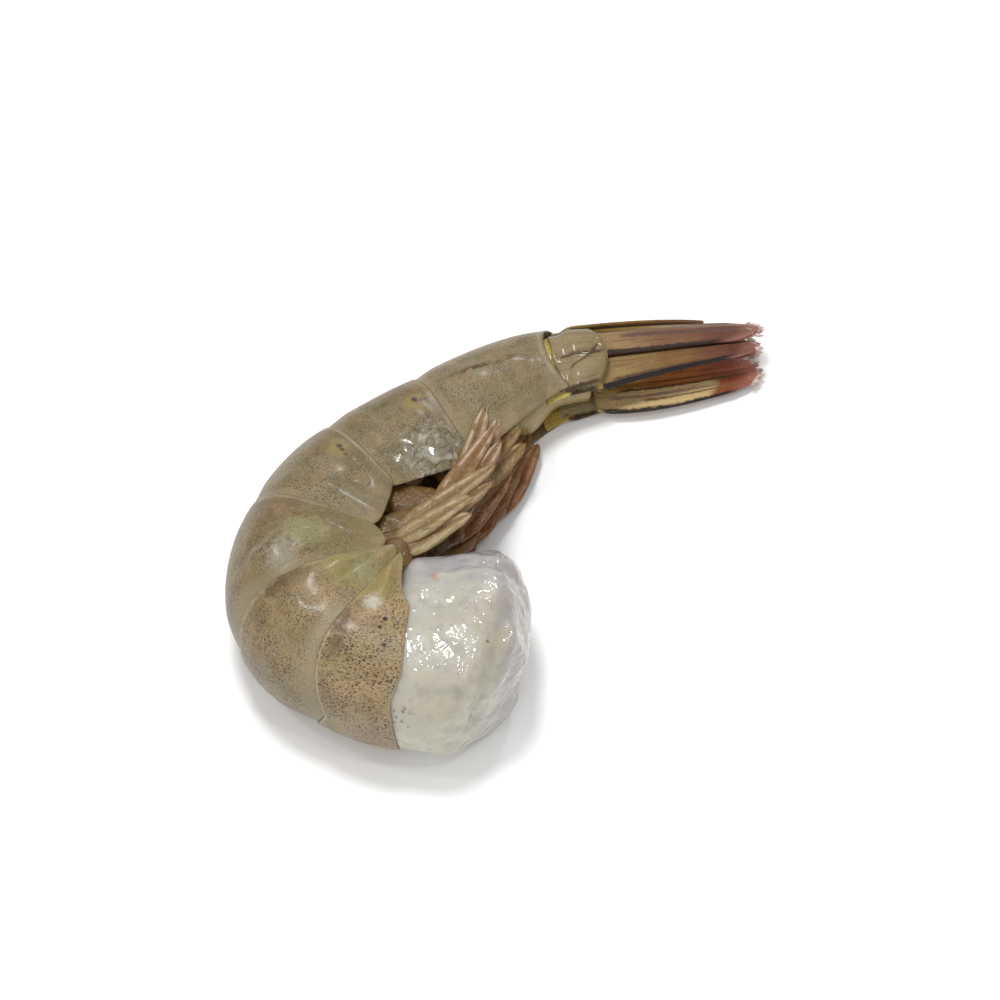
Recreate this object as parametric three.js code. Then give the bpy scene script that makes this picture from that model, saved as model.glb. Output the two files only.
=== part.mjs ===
// A raw whiteleg shrimp, headless, with its shell and tail on, curled up and lying on its right side.
// Millimetres, +Z up. The origin is under the middle of the shrimp, on the surface that it lies on.
//
// The body is described straight and then bent: s runs along the hinge line from the cut end to the
// tail, d is the height towards the back and w the distance towards the left side, which lies on top.

import * as THREE from "three";
import { mergeVertices } from "three/addons/utils/BufferGeometryUtils.js";

const degree = Math.PI / 180;

// The curl. The hinge line starts at cutEnd, and each stretch turns clockwise by so many degrees.
// At a stretch's tail end back is the height of the back over the hinge line, flank the depth of the
// side plates under it, belly the depth of the flesh, and half is half the width. sweep is how far a
// plate's rear edge bulges to the tail at the middle of the side.
const cutEnd = { x: 3.6, y: -25.6, heading: 181.5, back: 8.6, flank: 10.6, belly: 16.6, half: 9.6 };
const stretches = [
  { name: "neck", length: 15, turn: 3.4, back: 9.3, flank: 11.0, belly: 14.2, half: 9.9, sweep: 0 },
  { name: "somite_1", length: 6.3, turn: 24, back: 8.8, flank: 11.9, belly: 9.0, half: 10.3, sweep: 2 },
  { name: "somite_2", length: 8.8, turn: 34.8, back: 9.4, flank: 12.0, belly: 8.2, half: 10.3, sweep: 1.6 },
  { name: "somite_3", length: 13.3, turn: 45.5, back: 6.8, flank: 11.2, belly: 7.4, half: 9.1, sweep: 0.3 },
  { name: "somite_4", length: 12.4, turn: 26.8, back: 5.9, flank: 9.6, belly: 6.2, half: 7.4, sweep: 0.8 },
  { name: "somite_5", length: 13.1, turn: 12.6, back: 5.4, flank: 11.2, belly: 5.2, half: 6.1, sweep: 0.8 },
  { name: "somite_6", length: 19.2, turn: 24.2, back: 7.2, flank: 4.9, belly: 3.6, half: 4.9, sweep: -2 },
  { name: "fan", length: 27.4, turn: 4, back: 6.0, flank: 3.5, belly: 1.5, half: 4.0, sweep: 0 },
];

// The shell plates
const shellThickness = 0.5;
const plateLap = 1.8; // how far a plate's front edge lies under the plate before it
const plateSunk = 1.05; // how deep that hidden edge lies
const plateRise = 3.4; // over which length it rises to full height
const plateTuck = 0.16; // how far the side plates' lower edges turn in, as a share of the half width
const plateLobe = 0.16; // how much the side plates' lower corners are rounded off
const lobePower = 3; // more keeps the rounding nearer to the corners
const archShare = 0.62; // share of a plate's girth that is the round back
const pressed = 0.8; // how much the side that it lies on is flattened
const plateCells = [6, 1, 20]; // faces along, through and round a plate

// The flesh
const fleshRings = 45; // faces along it
const fleshSpokes = 24; // faces round it
const fleshSunk = 1.9; // its depth under the plates
const fleshTail = 3.2; // how far it reaches into the root of the tail fan
const knobRound = { length: 5, power: 2.4, least: 0.3 }; // how the cut end rounds off to its flat middle
const knobSlant = 7.5; // how much further back the cut end starts along the back
const knobGap = 0.4; // clear of the first plate's edge
const knobSwell = 1.8; // length over which it swells out to the plates' height
const knobSquareness = 2.4; // 2 is an ellipse, more is boxier

// The tail fan. Each plate is { from, to } along the fan, { near, far } round its section, where 0 is
// the ridge of the back and 1 the lower edge of the side, and the layer that it lies in.
const fanThickness = 0.55;
const fanLayer = 0.9;
const fanCells = [8, 1, 6]; // faces along, through and across a plate
const fanPlates = {
  telson: { from: 0.9, to: 19.5, near: -0.22, far: 0.22, layer: 0, taper: 0.93, tipRound: 0 },
  protopod: { from: 0.5, to: 5.6, near: 0.28, far: 0.98, layer: 0, taper: 0.1, tipRound: 1.6 },
  endopod: { from: 6.2, to: 26, near: 0.14, far: 0.6, layer: 1, taper: 0.25, tipRound: 4 },
  exopod: { from: 6.2, to: 25.6, near: 0.46, far: 1, layer: 2, taper: 0.1, tipRound: 3 },
};
const tipPower = 2.5; // more makes the tips blunter
const leftExopodRise = 0.3; // how much the left exopod's lower edge climbs towards its tip

// The swimming legs: a stalk from the belly, then a blade that is folded back. Headings are seen from
// above, and rise is how steeply the blade climbs.
const legGap = 0.7; // between the belly and the stalk
const stalk = { width: 2, thickness: 1.2 };
const blade = { width: 4, thickness: 0.7 };
const bladeOpening = 5; // length over which a stalk widens into its blade
const bladeTip = { length: 4, least: 0.25 }; // the rounded end, and its narrowest share of the width
const legBend = 1.3; // radius of the knee
const legCells = [12, 1, 4]; // faces along, through and across a leg
const legPairs = [
  {
    left: { at: 1.2, apart: 0.58, stalkHeading: 67, stalkLength: 5.5, heading: 35, length: 11.3, rise: 0 },
    right: { at: 1.5, apart: 0.37, stalkHeading: 56, stalkLength: 10.5, heading: 38, length: 8.6, rise: 1 },
  },
  {
    left: { at: 1.05, apart: 0.45, stalkHeading: 44, stalkLength: 7.1, heading: 40, length: 15.3, rise: 0 },
    right: { at: 1.05, apart: 0.62, stalkHeading: 39, stalkLength: 10.6, heading: 39, length: 9.5, rise: -1 },
  },
  {
    left: { at: 0.72, apart: 0.42, stalkHeading: 22, stalkLength: 11.0, heading: 57, length: 14.4, rise: 4 },
    right: { at: 0.72, apart: 0.14, stalkHeading: 23, stalkLength: 12.5, heading: 55, length: 12.4, rise: 0 },
  },
  {
    left: { at: 0.72, apart: 0.44, stalkHeading: -9, stalkLength: 10.2, heading: 74, length: 13.7, rise: 10 },
    right: { at: 0.72, apart: 0.35, stalkHeading: -16, stalkLength: 10.3, heading: 62, length: 15.0, rise: 0 },
  },
  {
    left: { at: 0.72, apart: 0.46, stalkHeading: -51, stalkLength: 6.2, heading: 52, length: 10.0, rise: -2 },
    right: { at: 0.72, apart: 0.5, stalkHeading: -42, stalkLength: 8.3, heading: 65, length: 13.1, rise: -1 },
  },
];

const finish = {
  shell: new THREE.MeshStandardMaterial({ color: 0x9c9480, roughness: 0.28 }),
  flesh: new THREE.MeshStandardMaterial({ color: 0xcfccc0, roughness: 0.22 }),
  fan: new THREE.MeshStandardMaterial({ color: 0x6a4a30, roughness: 0.3 }),
  legs: new THREE.MeshStandardMaterial({ color: 0x8c6f45, roughness: 0.3 }),
};

const smooth = (from, to, value) => THREE.MathUtils.smoothstep(value, from, to);

function startOf(name) {
  const index = stretches.findIndex((stretch) => stretch.name === name);
  return stretches.slice(0, index).reduce((sum, stretch) => sum + stretch.length, 0);
}
const shellStart = startOf("somite_1");
const fanStart = startOf("fan");
const bodyLength = fanStart + stretches.at(-1).length;

// The hinge line's point and heading at s. Each stretch is an arc.
function spineAt(s) {
  let { x, y } = cutEnd;
  let heading = cutEnd.heading * degree;
  let left = s;
  for (const { length, turn } of stretches) {
    const run = Math.min(left, length);
    const curvature = (turn * degree) / length;
    const end = heading - curvature * run;
    x += (Math.sin(heading) - Math.sin(end)) / curvature;
    y += (Math.cos(end) - Math.cos(heading)) / curvature;
    heading = end;
    left -= run;
    if (left <= 0) break;
  }
  return { x, y, heading };
}

// The section's sizes at s, on a smooth curve through the stretches' values.
const stations = [cutEnd, ...stretches];
const sizeCurves = {};
for (const size of ["back", "flank", "belly", "half"]) {
  const values = stations.map((station, index) => new THREE.Vector3(index, station[size], 0));
  sizeCurves[size] = new THREE.CatmullRomCurve3(values, false, "catmullrom");
}
function sectionAt(s) {
  let left = THREE.MathUtils.clamp(s, 0, bodyLength);
  let index = 0;
  while (index < stretches.length - 1 && left > stretches[index].length) {
    left -= stretches[index].length;
    index++;
  }
  const t = Math.min((index + left / stretches[index].length) / stretches.length, 1);
  const section = {};
  for (const size in sizeCurves) section[size] = sizeCurves[size].getPoint(t).y;
  return section;
}

// A point of the curled body. depth is how far it lies under the outermost surface, and the side
// that the shrimp lies on is pressed flat at that height.
function bodyPoint(s, d, w, depth) {
  const { x, y, heading } = spineAt(s);
  const z = sectionAt(s).half - pressed + w;
  return new THREE.Vector3(
    x - Math.sin(heading) * d,
    y + Math.cos(heading) * d,
    Math.max(z, depth),
  );
}

// A place on the arch that the shell plates and the tail fan share: side runs from -1 at the right
// lower edge over 0 at the ridge of the back to 1 at the left lower edge.
function archPoint(s, side, sunk, lobe) {
  const { back, flank, half } = sectionAt(s);
  const reach = Math.abs(side);
  let d;
  let w;
  if (reach < archShare) {
    const angle = (reach / archShare) * 90 * degree;
    d = (back - sunk) * Math.cos(angle);
    w = (half - sunk) * Math.sin(angle);
  } else {
    const down = (reach - archShare) / (1 - archShare);
    d = -flank * lobe * down;
    w = half * (1 - plateTuck * down * down) - sunk;
  }
  return bodyPoint(s, d, Math.sign(side) * w, sunk);
}

// A closed solid: a box of a by b by c cells whose points, each 0 to 1, place() moves.
function warpedBox(cells, place) {
  const geometry = new THREE.BoxGeometry(1, 1, 1, ...cells);
  return warped(geometry, (x, y, z) => place(x + 0.5, y + 0.5, z + 0.5));
}

function warped(geometry, place) {
  const position = geometry.attributes.position;
  for (let i = 0; i < position.count; i++) {
    const point = place(position.getX(i), position.getY(i), position.getZ(i));
    position.setXYZ(i, point.x, point.y, point.z);
  }
  geometry.deleteAttribute("uv");
  geometry.deleteAttribute("normal");
  const merged = mergeVertices(geometry, 1e-4);
  merged.computeVertexNormals();
  return merged;
}

// One shell plate: an arch over the back whose two sides hang down past the belly.
function shellPlate(index) {
  const { name, length, sweep } = stretches[index];
  const start = startOf(name);
  const first = index === 1;
  const lap = first ? 0 : plateLap;
  return warpedBox(plateCells, (a, b, c) => {
    const side = 2 * c - 1;
    const bulge = Math.sin(Math.PI * Math.abs(side));
    const front = start - lap + stretches[index - 1].sweep * bulge;
    const rear = start + length + sweep * bulge;
    const s = front + a * (rear - front);
    const risen = first ? 1 : smooth(front + lap, front + lap + plateRise, s);
    const sunk = plateSunk * (1 - risen) + (1 - b) * shellThickness;
    const lobe = 1 - plateLobe * Math.abs(2 * a - 1) ** lobePower;
    return archPoint(s, side, sunk, lobe);
  });
}

// The flesh: the rounded cut end, then a core that runs through every plate.
function fleshCore() {
  const end = fanStart + fleshTail;
  return warped(new THREE.CylinderGeometry(1, 1, 1, fleshSpokes, fleshRings), (x, y, z) => {
    const radius = Math.hypot(x, z);
    const cos = radius ? x / radius : 1;
    const sin = radius ? z / radius : 0;
    const along = (0.5 - y) * end;
    const { length, power: roundPower, least } = knobRound;
    const gone = 1 - Math.min(along / length, 1);
    const grown = Math.max((1 - gone ** roundPower) ** (1 / roundPower), least) * radius;
    const slant = knobSlant * Math.max(cos, 0) * grown * (1 - smooth(0, shellStart, along));
    const s = along + slant;
    const { back, belly, half } = sectionAt(s);
    const covered = smooth(shellStart - knobGap - knobSwell, shellStart - knobGap, s);
    const sunk = fleshSunk * covered;
    const power = THREE.MathUtils.lerp(2 / knobSquareness, 1, covered);
    const d = (cos > 0 ? back - sunk : belly) * Math.sign(cos) * Math.abs(cos) ** power * grown;
    const w = (half - sunk) * Math.sign(sin) * Math.abs(sin) ** power * grown;
    return bodyPoint(s, d, w, sunk);
  });
}

// One plate of the tail fan. Its two edges draw together towards the tip, which is round.
function fanPlate(plate, sign, rise) {
  return warpedBox(fanCells, (a, b, c) => {
    const middle = (plate.near + plate.far) / 2;
    const narrow = 1 - plate.taper * a * a;
    const share = sign > 0 ? c : 1 - c;
    const across = THREE.MathUtils.lerp(plate.near, plate.far, share);
    const side = (middle + (across - middle) * narrow) * (1 - rise * a * share);
    const tip = plate.tipRound * Math.abs(2 * c - 1) ** tipPower * a;
    const s = fanStart + plate.from + a * (plate.to - plate.from) - tip;
    const sunk = plate.layer * fanLayer + (1 - b) * fanThickness;
    return archPoint(s, sign * side, sunk, 1);
  });
}

// One swimming leg: a stalk that bends at the knee into a flat, rounded blade.
function swimmingLeg(index, sign, leg) {
  const { at, apart, stalkHeading, stalkLength, heading, length, rise } = leg;
  const somite = stretches[index];
  const s = startOf(somite.name) + somite.length * at;
  const { belly, half } = sectionAt(s);
  const depth = belly * Math.sqrt(1 - apart * apart) + legGap;
  const root = bodyPoint(s, -depth, sign * apart * half, 0);
  const turn = (heading - stalkHeading) * degree;
  const bendLength = Math.abs(turn) * legBend;
  const whole = stalkLength + bendLength + length;
  const line = (along) => {
    const bent = THREE.MathUtils.clamp((along - stalkLength) / bendLength, 0, 1);
    const from = stalkHeading * degree;
    const now = from + turn * bent;
    const way = Math.sign(turn);
    const run = Math.min(along, stalkLength);
    const rest = Math.max(along - stalkLength - bendLength, 0);
    const x = Math.cos(from) * run + (Math.sin(now) - Math.sin(from)) * way * legBend;
    const y = Math.sin(from) * run + (Math.cos(from) - Math.cos(now)) * way * legBend;
    return {
      x: root.x + x + Math.cos(now) * rest,
      y: root.y + y + Math.sin(now) * rest,
      z: root.z + Math.sin(rise * degree) * rest,
      heading: now,
    };
  };
  const bladeStart = stalkLength + bendLength;
  return warpedBox(legCells, (a, b, c) => {
    const along = a * whole;
    const open = smooth(bladeStart, bladeStart + bladeOpening, along);
    const toTip = Math.min((whole - along) / bladeTip.length, 1);
    const round = Math.max(Math.sqrt(1 - (1 - toTip) ** 2), bladeTip.least);
    const width = THREE.MathUtils.lerp(stalk.width, blade.width, open) * round;
    const thickness = THREE.MathUtils.lerp(stalk.thickness, blade.thickness, open);
    const point = line(along);
    return new THREE.Vector3(
      point.x + Math.sin(point.heading) * (c - 0.5) * width,
      point.y - Math.cos(point.heading) * (c - 0.5) * width,
      point.z + (b - 0.5) * thickness,
    );
  });
}

const shrimp = new THREE.Group();
function add(name, geometry, material) {
  const mesh = new THREE.Mesh(geometry, material);
  mesh.name = name;
  shrimp.add(mesh);
}

add("flesh", fleshCore(), finish.flesh);
stretches.forEach(({ name }, index) => {
  if (name.startsWith("somite")) add(name, shellPlate(index), finish.shell);
});
add("telson", fanPlate(fanPlates.telson, 1, 0), finish.fan);
for (const kind of ["protopod", "endopod", "exopod"]) {
  const rise = kind === "exopod" ? leftExopodRise : 0;
  add(`${kind}_left`, fanPlate(fanPlates[kind], 1, rise), finish.fan);
  add(`${kind}_right`, fanPlate(fanPlates[kind], -1, 0), finish.fan);
}
legPairs.forEach(({ left, right }, pair) => {
  const index = pair + 1;
  add(`pleopod_${index}_left`, swimmingLeg(index, 1, left), finish.legs);
  add(`pleopod_${index}_right`, swimmingLeg(index, -1, right), finish.legs);
});

const middle = new THREE.Box3().setFromObject(shrimp).getCenter(new THREE.Vector3());
shrimp.position.set(-middle.x, -middle.y, 0);

export default shrimp;
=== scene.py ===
import math
import random

import bmesh
import bpy
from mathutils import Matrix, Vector


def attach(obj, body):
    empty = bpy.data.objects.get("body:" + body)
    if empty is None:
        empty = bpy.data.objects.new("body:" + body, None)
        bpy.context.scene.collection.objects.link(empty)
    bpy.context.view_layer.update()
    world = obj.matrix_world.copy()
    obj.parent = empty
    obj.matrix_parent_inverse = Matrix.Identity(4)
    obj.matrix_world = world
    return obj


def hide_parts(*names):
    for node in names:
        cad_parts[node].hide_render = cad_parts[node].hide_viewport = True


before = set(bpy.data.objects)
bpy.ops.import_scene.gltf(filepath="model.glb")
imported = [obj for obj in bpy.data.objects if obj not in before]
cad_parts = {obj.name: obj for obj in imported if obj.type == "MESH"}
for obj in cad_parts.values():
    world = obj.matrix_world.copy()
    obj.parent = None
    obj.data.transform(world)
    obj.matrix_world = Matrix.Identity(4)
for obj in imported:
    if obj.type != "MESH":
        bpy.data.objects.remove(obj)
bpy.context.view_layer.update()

mm = 0.001

# Thin soft pieces are pressed flat a little above the ground, in mm.
softLevel = 0.05

# The shrimp is modelled straight: x runs from the cut end to the tail, y towards the back and z towards
# the left side, which lies on top. A lattice gives it its girth and a curve along the hinges curls it.
body = {
    "cutEnd": (3.685, -23.450),
    "heading": 181.5,
    "pressed": 0.8,
    "archShare": 0.62,
    "tuck": 0.16,
    "lobe": 0.16,
}
startGirth = {"back": 8.6, "flank": 10.6, "belly": 16.6, "half": 9.6}
stretches = [
    {"name": "neck", "length": 15, "turn": 3.4, "back": 9.3, "flank": 11.0, "belly": 14.2, "half": 9.9},
    {"name": "somite_1", "length": 6.3, "turn": 24, "back": 8.8, "flank": 11.9, "belly": 9.0, "half": 10.3},
    {"name": "somite_2", "length": 8.8, "turn": 34.8, "back": 9.4, "flank": 12.0, "belly": 8.2, "half": 10.3},
    {"name": "somite_3", "length": 13.3, "turn": 45.5, "back": 6.8, "flank": 11.2, "belly": 7.4, "half": 9.1},
    {"name": "somite_4", "length": 12.4, "turn": 26.8, "back": 5.9, "flank": 9.6, "belly": 6.2, "half": 7.4},
    {"name": "somite_5", "length": 13.1, "turn": 12.6, "back": 5.4, "flank": 11.2, "belly": 5.2, "half": 6.1},
    {"name": "somite_6", "length": 19.2, "turn": 24.2, "back": 7.2, "flank": 4.9, "belly": 3.6, "half": 4.9},
    {"name": "fan", "length": 27.4, "turn": 4, "back": 6.0, "flank": 3.5, "belly": 1.5, "half": 4.0},
]


def startOf(name):
    names = [stretch["name"] for stretch in stretches]
    return sum(stretch["length"] for stretch in stretches[: names.index(name)])


def lengthOf(name):
    return next(stretch["length"] for stretch in stretches if stretch["name"] == name)


shellStart = startOf("somite_1")
fanStart = startOf("fan")
bodyLength = fanStart + stretches[-1]["length"]


def smooth(start, end, value):
    share = min(max((value - start) / (end - start), 0), 1)
    return share * share * (3 - 2 * share)


def girthAt(s, size):
    left = min(max(s, 0), bodyLength)
    index = 0
    while index < len(stretches) - 1 and left > stretches[index]["length"]:
        left -= stretches[index]["length"]
        index += 1
    share = min(left / stretches[index]["length"], 1)
    values = [startGirth[size]] + [stretch[size] for stretch in stretches]
    values = [2 * values[0] - values[1]] + values + [2 * values[-1] - values[-2]]
    a, b, c, d = values[index : index + 4]
    slopeB = (c - a) / 2
    slopeC = (d - b) / 2
    cubic = 2 * b - 2 * c + slopeB + slopeC
    square = -3 * b + 3 * c - 2 * slopeB - slopeC
    return cubic * share**3 + square * share**2 + slopeB * share + b


def hingeAt(s):
    x, y = body["cutEnd"]
    heading = math.radians(body["heading"])
    for stretch in stretches:
        run = min(s, stretch["length"])
        bend = math.radians(stretch["turn"]) / stretch["length"]
        end = heading - bend * run
        x += (math.sin(heading) - math.sin(end)) / bend
        y += (math.cos(end) - math.cos(heading)) / bend
        heading = end
        s -= run
        if s <= 0:
            break
    return x, y, heading


def onBody(s, d, w):
    x, y, heading = hingeAt(s)
    z = girthAt(s, "half") - body["pressed"] + w
    return Vector((x - math.sin(heading) * d, y + math.cos(heading) * d, max(z, 0)))


# A place round the arch: side 1 is the left lower edge, 0 the ridge of the back, -1 the right lower edge.
# Flat sheets are drawn with x round the arch, in units that the lattice stretches to the real girth.
def roundPlace(side):
    arch = body["archShare"]
    reach = min(abs(side), arch) / arch * math.pi / 2
    reach += max(abs(side) - arch, 0) / (1 - arch)
    return 1 + math.pi / 2 - math.copysign(reach, side)


def sideAt(place):
    arch = body["archShare"]
    reach = abs(1 + math.pi / 2 - place)
    side = min(reach, math.pi / 2) / (math.pi / 2) * arch
    side += max(reach - math.pi / 2, 0) * (1 - arch)
    return math.copysign(side, 1 + math.pi / 2 - place)


def onArch(s, side, sunk=0):
    arch = body["archShare"]
    reach = abs(side)
    if reach < arch:
        angle = reach / arch * math.pi / 2
        d = (girthAt(s, "back") - sunk) * math.cos(angle)
        w = (girthAt(s, "half") - sunk) * math.sin(angle)
    else:
        down = (reach - arch) / (1 - arch)
        d = -girthAt(s, "flank") * down
        w = girthAt(s, "half") * (1 - body["tuck"] * down * down) - sunk
    return onBody(s, d, math.copysign(w, side))


def deselectAll():
    if bpy.context.object and bpy.context.object.mode != "OBJECT":
        bpy.ops.object.mode_set(mode="OBJECT")
    bpy.ops.object.select_all(action="DESELECT")


def makeActive(piece):
    deselectAll()
    piece.select_set(True)
    bpy.context.view_layer.objects.active = piece


def openMesh(piece):
    makeActive(piece)
    bpy.ops.object.mode_set(mode="EDIT")


def closeMesh():
    bpy.ops.object.mode_set(mode="OBJECT")


def pick(test):
    mesh = bmesh.from_edit_mesh(bpy.context.object.data)
    layer = mesh.verts.layers.float_vector.get("place")
    for vert in mesh.verts:
        place = vert[layer] if layer else None
        vert.select_set(bool(test(vert.co / mm, place)))
    mesh.select_flush_mode()
    bmesh.update_edit_mesh(bpy.context.object.data)


def pickAll():
    bpy.ops.mesh.select_all(action="SELECT")


# These act on what is picked in the open mesh, with places and lengths in mm.
def scaleFrom(centre, value):
    bpy.ops.transform.resize(value=value, center_override=tuple(part * mm for part in centre))


def move(x, y, z):
    bpy.ops.transform.translate(value=(x * mm, y * mm, z * mm))


def extrude(x, y, z):
    bpy.ops.mesh.extrude_region_move(TRANSFORM_OT_translate={"value": (x * mm, y * mm, z * mm)})


def push(height, **settings):
    bpy.ops.transform.shrink_fatten(value=height * mm, **settings)


# Pushes the surface out round the point for which far is least, or in where height is negative.
def pushNearest(far, reach, height, **settings):
    mesh = bmesh.from_edit_mesh(bpy.context.object.data)
    layer = mesh.verts.layers.float_vector.get("place")
    near = min(mesh.verts, key=lambda vert: far(vert.co, vert[layer] if layer else None))
    for vert in mesh.verts:
        vert.select_set(vert == near)
    mesh.select_flush_mode()
    bmesh.update_edit_mesh(bpy.context.object.data)
    settings.update(use_proportional_edit=True, proportional_edit_falloff="SMOOTH")
    push(height, proportional_size=reach * mm, **settings)


def turnFacesOut():
    pickAll()
    bpy.ops.mesh.normals_make_consistent(inside=False)


# The place of a point on the straight body: along it, round the arch, and its share of the piece
def givePlace(piece):
    return piece.data.attributes.new("place", "FLOAT_VECTOR", "POINT")


def finishWith(piece, kind, **values):
    makeActive(piece)
    step = piece.modifiers.new(kind.title(), kind)
    for name, value in values.items():
        setattr(step, name, value)
    bpy.ops.object.modifier_apply(modifier=step.name)


def roundOff(piece, levels):
    finishWith(piece, "SUBSURF", levels=levels, render_levels=levels)
    bpy.ops.object.shade_smooth()


# Displaces the surface by clouds: their size and strength are in mm.
def roughen(piece, size, strength, group=""):
    clouds = bpy.data.textures.new("clouds", "CLOUDS")
    clouds.noise_scale = size * mm
    settings = {"texture": clouds, "texture_coords": "LOCAL", "vertex_group": group}
    finishWith(piece, "DISPLACE", strength=strength * mm, **settings)


def joinTogether(parts, name):
    deselectAll()
    for part in parts:
        part.select_set(True)
    bpy.context.view_layer.objects.active = parts[0]
    bpy.ops.object.join()
    bpy.context.object.name = name
    return bpy.context.object


def drawLine(name, points):
    curve = bpy.data.curves.new(name, "CURVE")
    curve.dimensions = "3D"
    curve.twist_mode = "Z_UP"
    spline = curve.splines.new("POLY")
    spline.points.add(len(points) - 1)
    for point, place in zip(spline.points, points):
        point.co = (*(Vector(place) * mm), 1)
    line = bpy.data.objects.new(name, curve)
    bpy.context.collection.objects.link(line)
    return line


def drawArch():
    flank = lambda down, sign: (0, -down, sign * (1 - body["tuck"] * down * down))
    points = [flank(1 - share / 10, 1) for share in range(10)]
    points += [(0, math.sin(math.pi * turn / 96), math.cos(math.pi * turn / 96)) for turn in range(97)]
    points += [flank(share / 10, -1) for share in range(1, 11)]
    arch = drawLine("archLine", points)
    arch.data.twist_mode = "MINIMUM"
    return arch


def drawHinges():
    step = 0.25
    count = int(bodyLength / step) + 1
    return drawLine("hingeLine", [(*hingeAt(index * step)[:2], 0) for index in range(count + 1)])


def makeLattice(name, below, sunkAt=lambda s: 0, slant=0):
    form = bpy.data.lattices.new(name)
    form.points_u, form.points_v, form.points_w = 64, 3, 2
    form.interpolation_type_v = form.interpolation_type_w = "KEY_LINEAR"
    form.interpolation_type_u = "KEY_CATMULL_ROM"
    cage = bpy.data.objects.new(name, form)
    bpy.context.collection.objects.link(cage)
    step, first, reach = 2, -6, 1.5
    cage.location = ((first + step * 31.5) * mm, 0, 0)
    cage.scale = (step * mm, reach * mm, 2 * reach * mm)
    for point in form.points:
        x = first + step * (point.co.x + 31.5)
        y, z = point.co.y * reach, point.co.z * 2 * reach
        moved = slant * max(y, 0) * (1 - smooth(0, shellStart, x))
        depth = sunkAt(x + moved)
        girth = girthAt(x + moved, "back") - depth if y > 0 else girthAt(x + moved, below)
        half = girthAt(x + moved, "half")
        tall = half - body["pressed"] + z * (half - depth)
        point.co_deform = (
            point.co.x + moved / step,
            y * girth / reach,
            tall / (2 * reach),
        )
    return cage


archLine = drawArch()
hingeLine = drawHinges()
plateLattice = makeLattice("plateLattice", "flank")


# A flat sheet between two sides, drawn row by row from its front edge to its tail edge.
def flatSheet(name, left, right, columns, rows):
    start, end = roundPlace(left), roundPlace(right)
    deselectAll()
    bpy.ops.mesh.primitive_grid_add(x_subdivisions=columns, y_subdivisions=1, size=1)
    sheet = bpy.context.object
    sheet.name = name
    bpy.ops.object.mode_set(mode="EDIT")
    bpy.ops.transform.resize(value=((end - start) * mm, (rows[1] - rows[0]) * mm, 1))
    move((start + end) / 2, -(rows[0] + rows[1]) / 2, 0)
    for last, row in zip(rows[1:], rows[2:]):
        pick(lambda co, place: abs(co.y + last) < 0.001)
        extrude(0, (last - row), 0)
    closeMesh()
    place = givePlace(sheet)
    for vert, value in zip(sheet.data.vertices, place.data):
        s = -vert.co.y / mm
        value.vector = (s, sideAt(vert.co.x / mm), (s - rows[0]) / (rows[-1] - rows[0]))
    return sheet


def evenly(start, end, count):
    return [start + (end - start) * index / count for index in range(count + 1)]


# Moves the two ends of every column so that the sheet's front and tail edges bulge.
def sweepEdges(sheet, columns, left, right, front, rear, frontSweep, rearSweep):
    openMesh(sheet)
    for side in [sideAt(place) for place in evenly(roundPlace(left), roundPlace(right), columns)]:
        first, last = frontSweep(side), rearSweep(side)
        if first == last == 0:
            continue
        pick(lambda co, place: abs(place[1] - side) < 0.002)
        stretch = (rear + last - front - first) / (rear - front)
        scaleFrom((0, -front, 0), (1, stretch, 1))
        move(0, -first, 0)
    closeMesh()


# The value at a place of a list of (place, value), straight in between
def readBetween(table, place):
    below = [entry for entry in table if entry[0] <= place + 1e-6][-1]
    above = [entry for entry in table if entry[0] >= place - 1e-6][0]
    share = (place - below[0]) / (above[0] - below[0]) if above[0] > below[0] else 0
    return below[1] + (above[1] - below[1]) * share


def wrapRound(sheet, lattice):
    finishWith(sheet, "CURVE", object=archLine, deform_axis="POS_X")
    finishWith(sheet, "LATTICE", object=lattice)
    pressFlat(sheet, 0)


def pressFlat(piece, level):
    openMesh(piece)
    pick(lambda co, place: co.z < level)
    scaleFrom((0, 0, level), (1, 1, 0))
    closeMesh()


# Pushes what lies near a place of the body out by height, or in where that is negative.
def swell(s, side, radius, height):
    wide = 2 * girthAt(s, "half")
    far = lambda co, place: math.hypot(place[0] - s, (place[1] - side) * wide)
    pushNearest(far, radius, height, use_proportional_connected=True)


# Lets the rows near the front edge sink under the plate before, a little at a time.
def sinkFront(sheet, depth, reach, length):
    openMesh(sheet)
    steps = evenly(*reach, 9)
    for end in steps:
        pick(lambda co, place: place[2] * length < end)
        push(-depth / len(steps))
    closeMesh()


def giveWall(sheet, thickness):
    finishWith(sheet, "SOLIDIFY", thickness=thickness * mm, offset=-1)
    finishWith(sheet, "CURVE", object=hingeLine, deform_axis="POS_X")
    roundOff(sheet, 2)


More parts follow.
